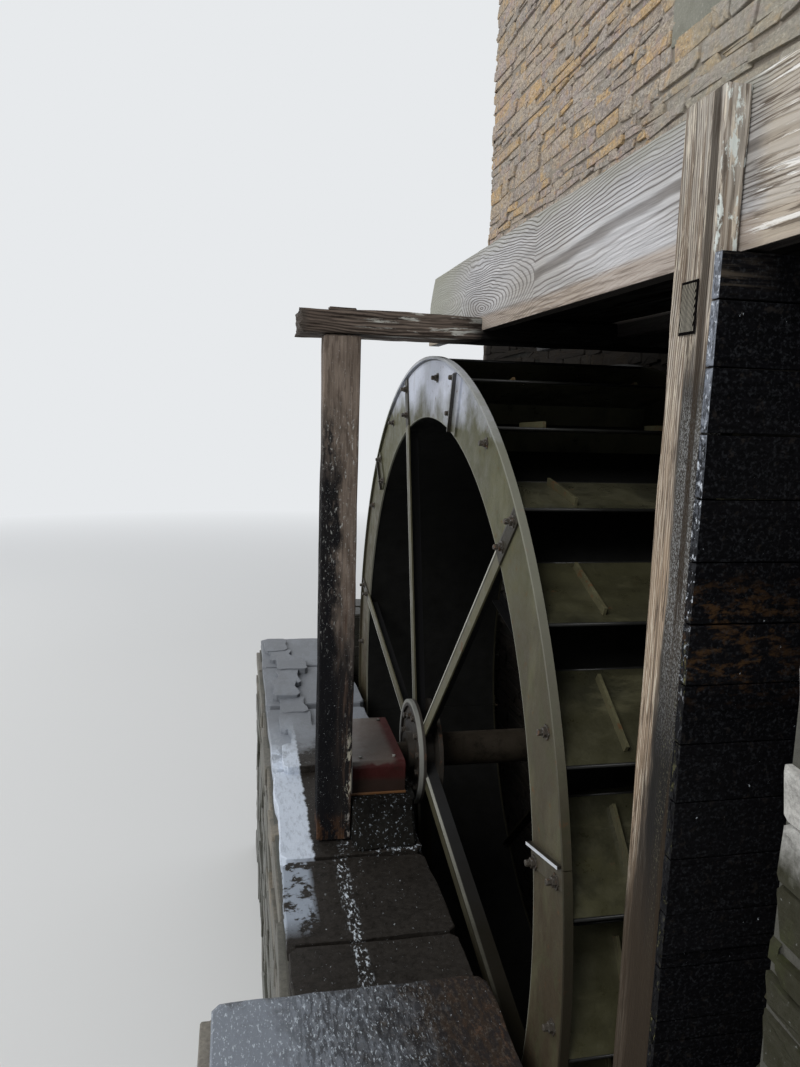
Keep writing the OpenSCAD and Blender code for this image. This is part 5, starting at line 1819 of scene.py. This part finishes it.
@dataclass
class Launder(Assembly):
    """The timber channel over the wheel."""

    outer: tuple[float, float] = (-1.165, -1.12)
    inner: tuple[float, float] = (-0.68, -0.635)
    near: float = -3.30
    far: float = 0.492
    foot: float = 3.25
    top: float = 3.516
    rake: tuple[float, float] = (0.074, 0.115)
    section_step: float = 0.03
    wear: float = 0.0022
    floor_planks: int = 3
    plank_gap: float = 0.003
    tie_y: tuple[float, ...] = (-3.15, -2.40, -1.68, -0.90, -0.175)
    tie_half: float = 0.035
    tie_z: tuple[float, float] = (3.461, 3.501)

    def board(self, x: tuple[float, float], seed: int) -> Solid:
        """A side board: a rounded rectangle carried along Y, whose top drops along the raked end.

        Args:
            x: Low and high X of the board.
            seed: Number for its wear.

        Returns:
            The closed board.
        """
        rake_start = self.far - self.rake[0]
        y = np.concatenate([[self.near, self.near + 0.004],
                            np.arange(self.near + self.section_step, rake_start, self.section_step),
                            np.linspace(rake_start, self.far - 0.004, 6), [self.far]])
        top = self.top - np.clip((y - rake_start) / self.rake[0], 0, 1) * self.rake[1]
        outline = rounded_outline(1.0, 1.0, 0.02, 2, 8)
        squeeze = np.ones(len(y))
        squeeze[[0, -1]] = 0.8
        wide = (x[1] - x[0]) * squeeze[:, None]
        tall = (top - self.foot)[:, None] * (0.95 + 0.05 * squeeze[:, None])
        rings = np.zeros((len(y), len(outline), 3))
        rings[..., 0] = (x[0] + x[1]) / 2 + outline[None, :, 1] * wide
        rings[..., 1] = y[:, None]
        rings[..., 2] = (self.foot + top[:, None]) / 2 + outline[None, :, 0] * tall
        wear = rough_noise(rings * np.array([1, 0.12, 1.0]), 0.03, seed, 3) - 0.6
        rings[..., 0] += np.sign(outline[:, 1]) * wear * self.wear
        return loft(rings)

    def build(self) -> None:
        """Builds the side boards, the floor and the ties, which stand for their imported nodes."""
        for side, x, seed in (("outer", self.outer, 301), ("inner", self.inner, 302)):
            put(f"launder_{side}_timber", self.board(x, seed), Finish.GREY_TIMBER,
                replaces=[f"launder_{side}_board"])
        low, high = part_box("launder_floor")
        wide = (high.x - low.x) / self.floor_planks
        planks = [Plank((low.x + k * wide, low.y, low.z),
                        (low.x + (k + 1) * wide - self.plank_gap, high.y, high.z), seed=310 + k).solid()
                  for k in range(self.floor_planks)]
        # Floor boards near black: soaked, and painted shade under the launder.
        put("launder_floor_boards", together(planks), Finish.SOAKED_BOARD,
            replaces=["launder_floor"])
        ties = [Plank((self.outer[1], y - self.tie_half, self.tie_z[0]),
                      (self.inner[0], y + self.tie_half, self.tie_z[1]), along=0, seed=320 + k).solid()
                for k, y in enumerate(self.tie_y)]
        put("launder_tie_timbers", together(ties), Finish.BEAM, replaces=["launder_ties"])


@dataclass
class Wheel(Assembly):
    """The iron wheel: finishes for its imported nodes, with bolts and bucket bends added."""

    face: float = -1.28
    width: float = 0.76
    plate: float = 0.012
    tip_in: float = 0.006
    flange_out: float = 0.010
    joint_past: float = 32.0
    buckets: int = 30
    bar_sides: int = 8
    painted = (
        (("outer_ring",), Finish.RING),
        (("inner_ring",), Finish.DARK_RING),
        (("splice_straps",), Finish.BRIGHT),
        (("outer_spokes", "inner_spokes"), Finish.SPOKE),
        (("wheel_sole",), Finish.SOLE),
        (("bucket_risers", "bucket_faces"), Finish.BUCKET),
        (("bucket_ribs",), Finish.RIB),
        (("axle",), Finish.AXLE),
        (("outer_hub", "inner_hub"), Finish.CAST))

    @staticmethod
    def at(x: float, r: Array | float, angle: Array | float) -> Array:
        """Points at radius r and an angle above the far horizontal: (x, r cos a, hub + r sin a)."""
        a = np.radians(np.asarray(angle, float))
        r = np.broadcast_to(r, a.shape)
        return np.stack([np.full(a.shape, x), r * np.cos(a), HUB_Z + r * np.sin(a)], -1)

    def put_bolts(self, name: str, bolt: Solid, places: Sequence[Array], slot: str) -> None:
        """Bolts on the outer side and, mirrored, on the mill's side.

        Args:
            name: Name of the piece.
            bolt: One bolt about its own origin.
            places: Runs of places on the outer side.
            slot: The record's material slot; not used.
        """
        outer = copies(bolt, np.concatenate(places))
        both = together([outer, outer.mirrored_x(self.face + self.width / 2)])
        put(name, both, Finish.BOLT, Body.WHEEL)

    def build_bolts(self) -> None:
        """Bolts with their nuts on the rings, straps and spokes, and bolt heads on the hubs."""
        spokes = FIRST_SPOKE + 360.0 / SPOKES * np.arange(SPOKES)
        plate, tip, flange = (self.face + by for by in (self.plate, self.tip_in, -self.flange_out))
        joints = spokes + self.joint_past
        after, before = joints[::2], joints[1::2]
        rows = ((0.007, 1.335, after + 1.6), (0.007, 1.468, after + 1.5),
                (0, 1.365, before - 1.6), (0, 1.485, before - 1.5))
        single = self.at(plate, 1.45, np.concatenate([spokes + 21.0, spokes + 47.0]))
        beside = [self.at(plate - out, r, angle) for out, r, angle in rows]
        nut = turned(np.array([[-0.024, 0.006], [-0.022, 0.008], [-0.006, 0.008]]), 0, (0, 0, 0), 8)
        bolt = together([bolt_head(0.0125, 0.011), nut])
        self.put_bolts("ring_bolts", bolt, [single, *beside], "galvanised_steel")
        ends = [self.at(tip, r, spokes) for r in (1.36, 1.47)]
        self.put_bolts("spoke_bolts", bolt, ends, "stained_steel")
        around = [self.at(flange, 0.135, spokes), self.at(flange, 0.150, spokes + 30)]
        self.put_bolts("hub_bolts", bolt_head(0.012, 0.014), around, "dark_iron")

    def build_bends(self) -> None:
        """A rounded bend along each bucket's elbow and a rolled edge along its lip, as thin bars."""
        angles = FIRST_SPOKE + 360.0 / self.buckets * np.arange(self.buckets)
        ends = (self.face + 0.02, self.face + self.width - 0.02)
        side = np.arange(self.bar_sides) * 2 * math.pi / self.bar_sides
        bars = []
        for r, lag, thick in ((1.388, -9.0, 0.0042), (1.5185, 0.0, 0.0045)):
            centre = self.at(0.0, r, angles + lag)[:, 1:]
            ring = centre[:, None] + thick * np.stack([np.cos(side), np.sin(side)], -1)
            for section in ring:
                bars.append(loft(np.stack([np.insert(section, 0, x, axis=1) for x in ends])))
        put("bucket_bends", together(bars), Finish.SOLE, Body.WHEEL, smooth=True)

    def build(self) -> None:
        """Builds the bolts and the buckets' bends."""
        self.build_bolts()
        self.build_bends()


# Studio


@dataclass
class Studio:
    """Camera, lamps, world and floor."""

    eye: Vector = (-1.957, -2.988, 2.982)
    yaw: float = 11.259
    pitch: float = 8.671
    roll: float = -1.740
    lens: float = 27.55
    backdrop: Colour = (0.80, 0.82, 0.84)
    floor_colour: Colour = (0.74, 0.74, 0.73)

    @staticmethod
    def set_colour(socket: bpy.types.NodeSocket, colour: Colour) -> None:
        """Writes a colour on a socket."""
        socket.default_value = (*colour, 1.0)

    def camera(self) -> None:
        """The camera of the photograph: its right, up and back axes worked out from yaw, pitch and roll."""
        yaw, pitch, roll = (math.radians(a) for a in (self.yaw, self.pitch, self.roll))
        level = math.cos(pitch)
        ahead = np.array([math.sin(yaw) * level, math.cos(yaw) * level, -math.sin(pitch)])
        right = np.array([math.cos(yaw), -math.sin(yaw), 0.0])
        down = np.cross(ahead, right)
        across = math.cos(roll) * right + math.sin(roll) * down
        below = -math.sin(roll) * right + math.cos(roll) * down
        data = bpy.data.cameras.new("camera")
        data.lens, data.sensor_width, data.sensor_fit = self.lens, 36.0, "AUTO"
        data.clip_start, data.clip_end = 0.05, 200.0
        camera = bpy.data.objects.new("camera", data)
        bpy.context.scene.collection.objects.link(camera)
        frame = np.eye(4)
        frame[:3, 0], frame[:3, 1], frame[:3, 2], frame[:3, 3] = across, -below, -ahead, self.eye
        camera.matrix_world = Matrix(frame.tolist())
        bpy.context.scene.camera = camera

    @staticmethod
    def lamp(name: str, place: Vector, target: Vector, size: float, power: float) -> None:
        """A large soft lamp that looks at a target.

        Args:
            name: Name of the lamp.
            place: Where it stands.
            target: What it looks at.
            size: Its diameter in metres.
            power: Its power in watts.
        """
        data = bpy.data.lights.new(name, "AREA")
        data.shape, data.size, data.energy = "DISK", size, power
        lamp = bpy.data.objects.new(name, data)
        bpy.context.scene.collection.objects.link(lamp)
        back = unit(np.asarray(place, float) - np.asarray(target, float))
        right = unit(np.cross([0, 0, 1.0], back))
        frame = np.eye(4)
        frame[:3, 0], frame[:3, 1], frame[:3, 2], frame[:3, 3] = right, np.cross(back, right), back, place
        lamp.matrix_world = Matrix(frame.tolist())

    def world(self) -> None:
        """A pale world: the backdrop's colour to the camera and in reflections, dimmer as light."""
        world = bpy.data.worlds.new("studio")
        bpy.context.scene.world = world
        world.use_nodes = True
        tree = world.node_tree
        tree.nodes.clear()
        light, seen = (tree.nodes.new("ShaderNodeBackground") for _ in range(2))
        self.set_colour(light.inputs["Color"], (0.93, 0.96, 1.0))
        self.set_colour(seen.inputs["Color"], self.backdrop)
        light.inputs["Strength"].default_value = 0.55
        path = tree.nodes.new("ShaderNodeLightPath")
        mix, out = tree.nodes.new("ShaderNodeMixShader"), tree.nodes.new("ShaderNodeOutputWorld")
        most = tree.nodes.new("ShaderNodeMath")
        most.operation = "MAXIMUM"
        tree.links.new(path.outputs["Is Camera Ray"], most.inputs[0])
        tree.links.new(path.outputs["Is Glossy Ray"], most.inputs[1])
        tree.links.new(most.outputs[0], mix.inputs[0])
        tree.links.new(light.outputs[0], mix.inputs[1])
        tree.links.new(seen.outputs[0], mix.inputs[2])
        tree.links.new(mix.outputs[0], out.inputs[0])

    def floor(self) -> None:
        """A plain pale floor that passes into the backdrop's colour with distance."""
        mesh = bpy.data.meshes.new("studio_floor")
        mesh.from_pydata([(-60, -60, 0), (60, -60, 0), (60, 60, 0), (-60, 60, 0)], [], [(0, 1, 2, 3)])
        n = Nodes("studio_floor")
        material = n.finish(self.floor_colour, 0.9)
        out = n.tree.nodes.get("Material Output")
        far = n.add("ShaderNodeEmission")
        self.set_colour(far.inputs["Color"], self.backdrop)
        blend = n.add("ShaderNodeMixShader")
        away = n.math("ADD", n.math("POWER", n.part("X"), 2.0), n.math("POWER", n.part("Y"), 2.0))
        n.link(n.between(away, 60.0, 420.0, 0.0, 1.0), blend.inputs[0])
        n.link(n.shader.outputs[0], blend.inputs[1])
        n.link(far.outputs[0], blend.inputs[2])
        n.link(blend.outputs[0], out.inputs["Surface"])
        mesh.materials.append(material)
        floor = bpy.data.objects.new("studio_floor", mesh)
        bpy.context.scene.collection.objects.link(floor)

    def build(self) -> None:
        """Sets up the whole studio."""
        self.camera()
        self.world()
        self.floor()
        self.lamp("key", (-9.0, -8.0, 11.0), (0.0, 0.0, 2.5), 7.0, 1000.0)
        self.lamp("fill", (-10.0, 9.0, 8.0), (0.0, 0.0, 2.5), 8.0, 350.0)
        self.lamp("far_fill", (14.0, -6.0, 9.0), (3.0, 0.0, 3.0), 8.0, 550.0)
        bpy.context.scene.view_settings.view_transform = "Standard"


def main() -> None:
    """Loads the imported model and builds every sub-assembly in order."""
    logging.basicConfig(level=logging.INFO, format="%(name)s %(message)s")
    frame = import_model()
    Studio().build()
    for part in (MillHouse(), WheelPit(), Bearing(), TimberFrame(), Launder(), Wheel()):
        LOG.info("building %s", type(part).__name__)
        part.dress(frame["nodes"])
        part.build()


if __name__ == "__main__":
    main()
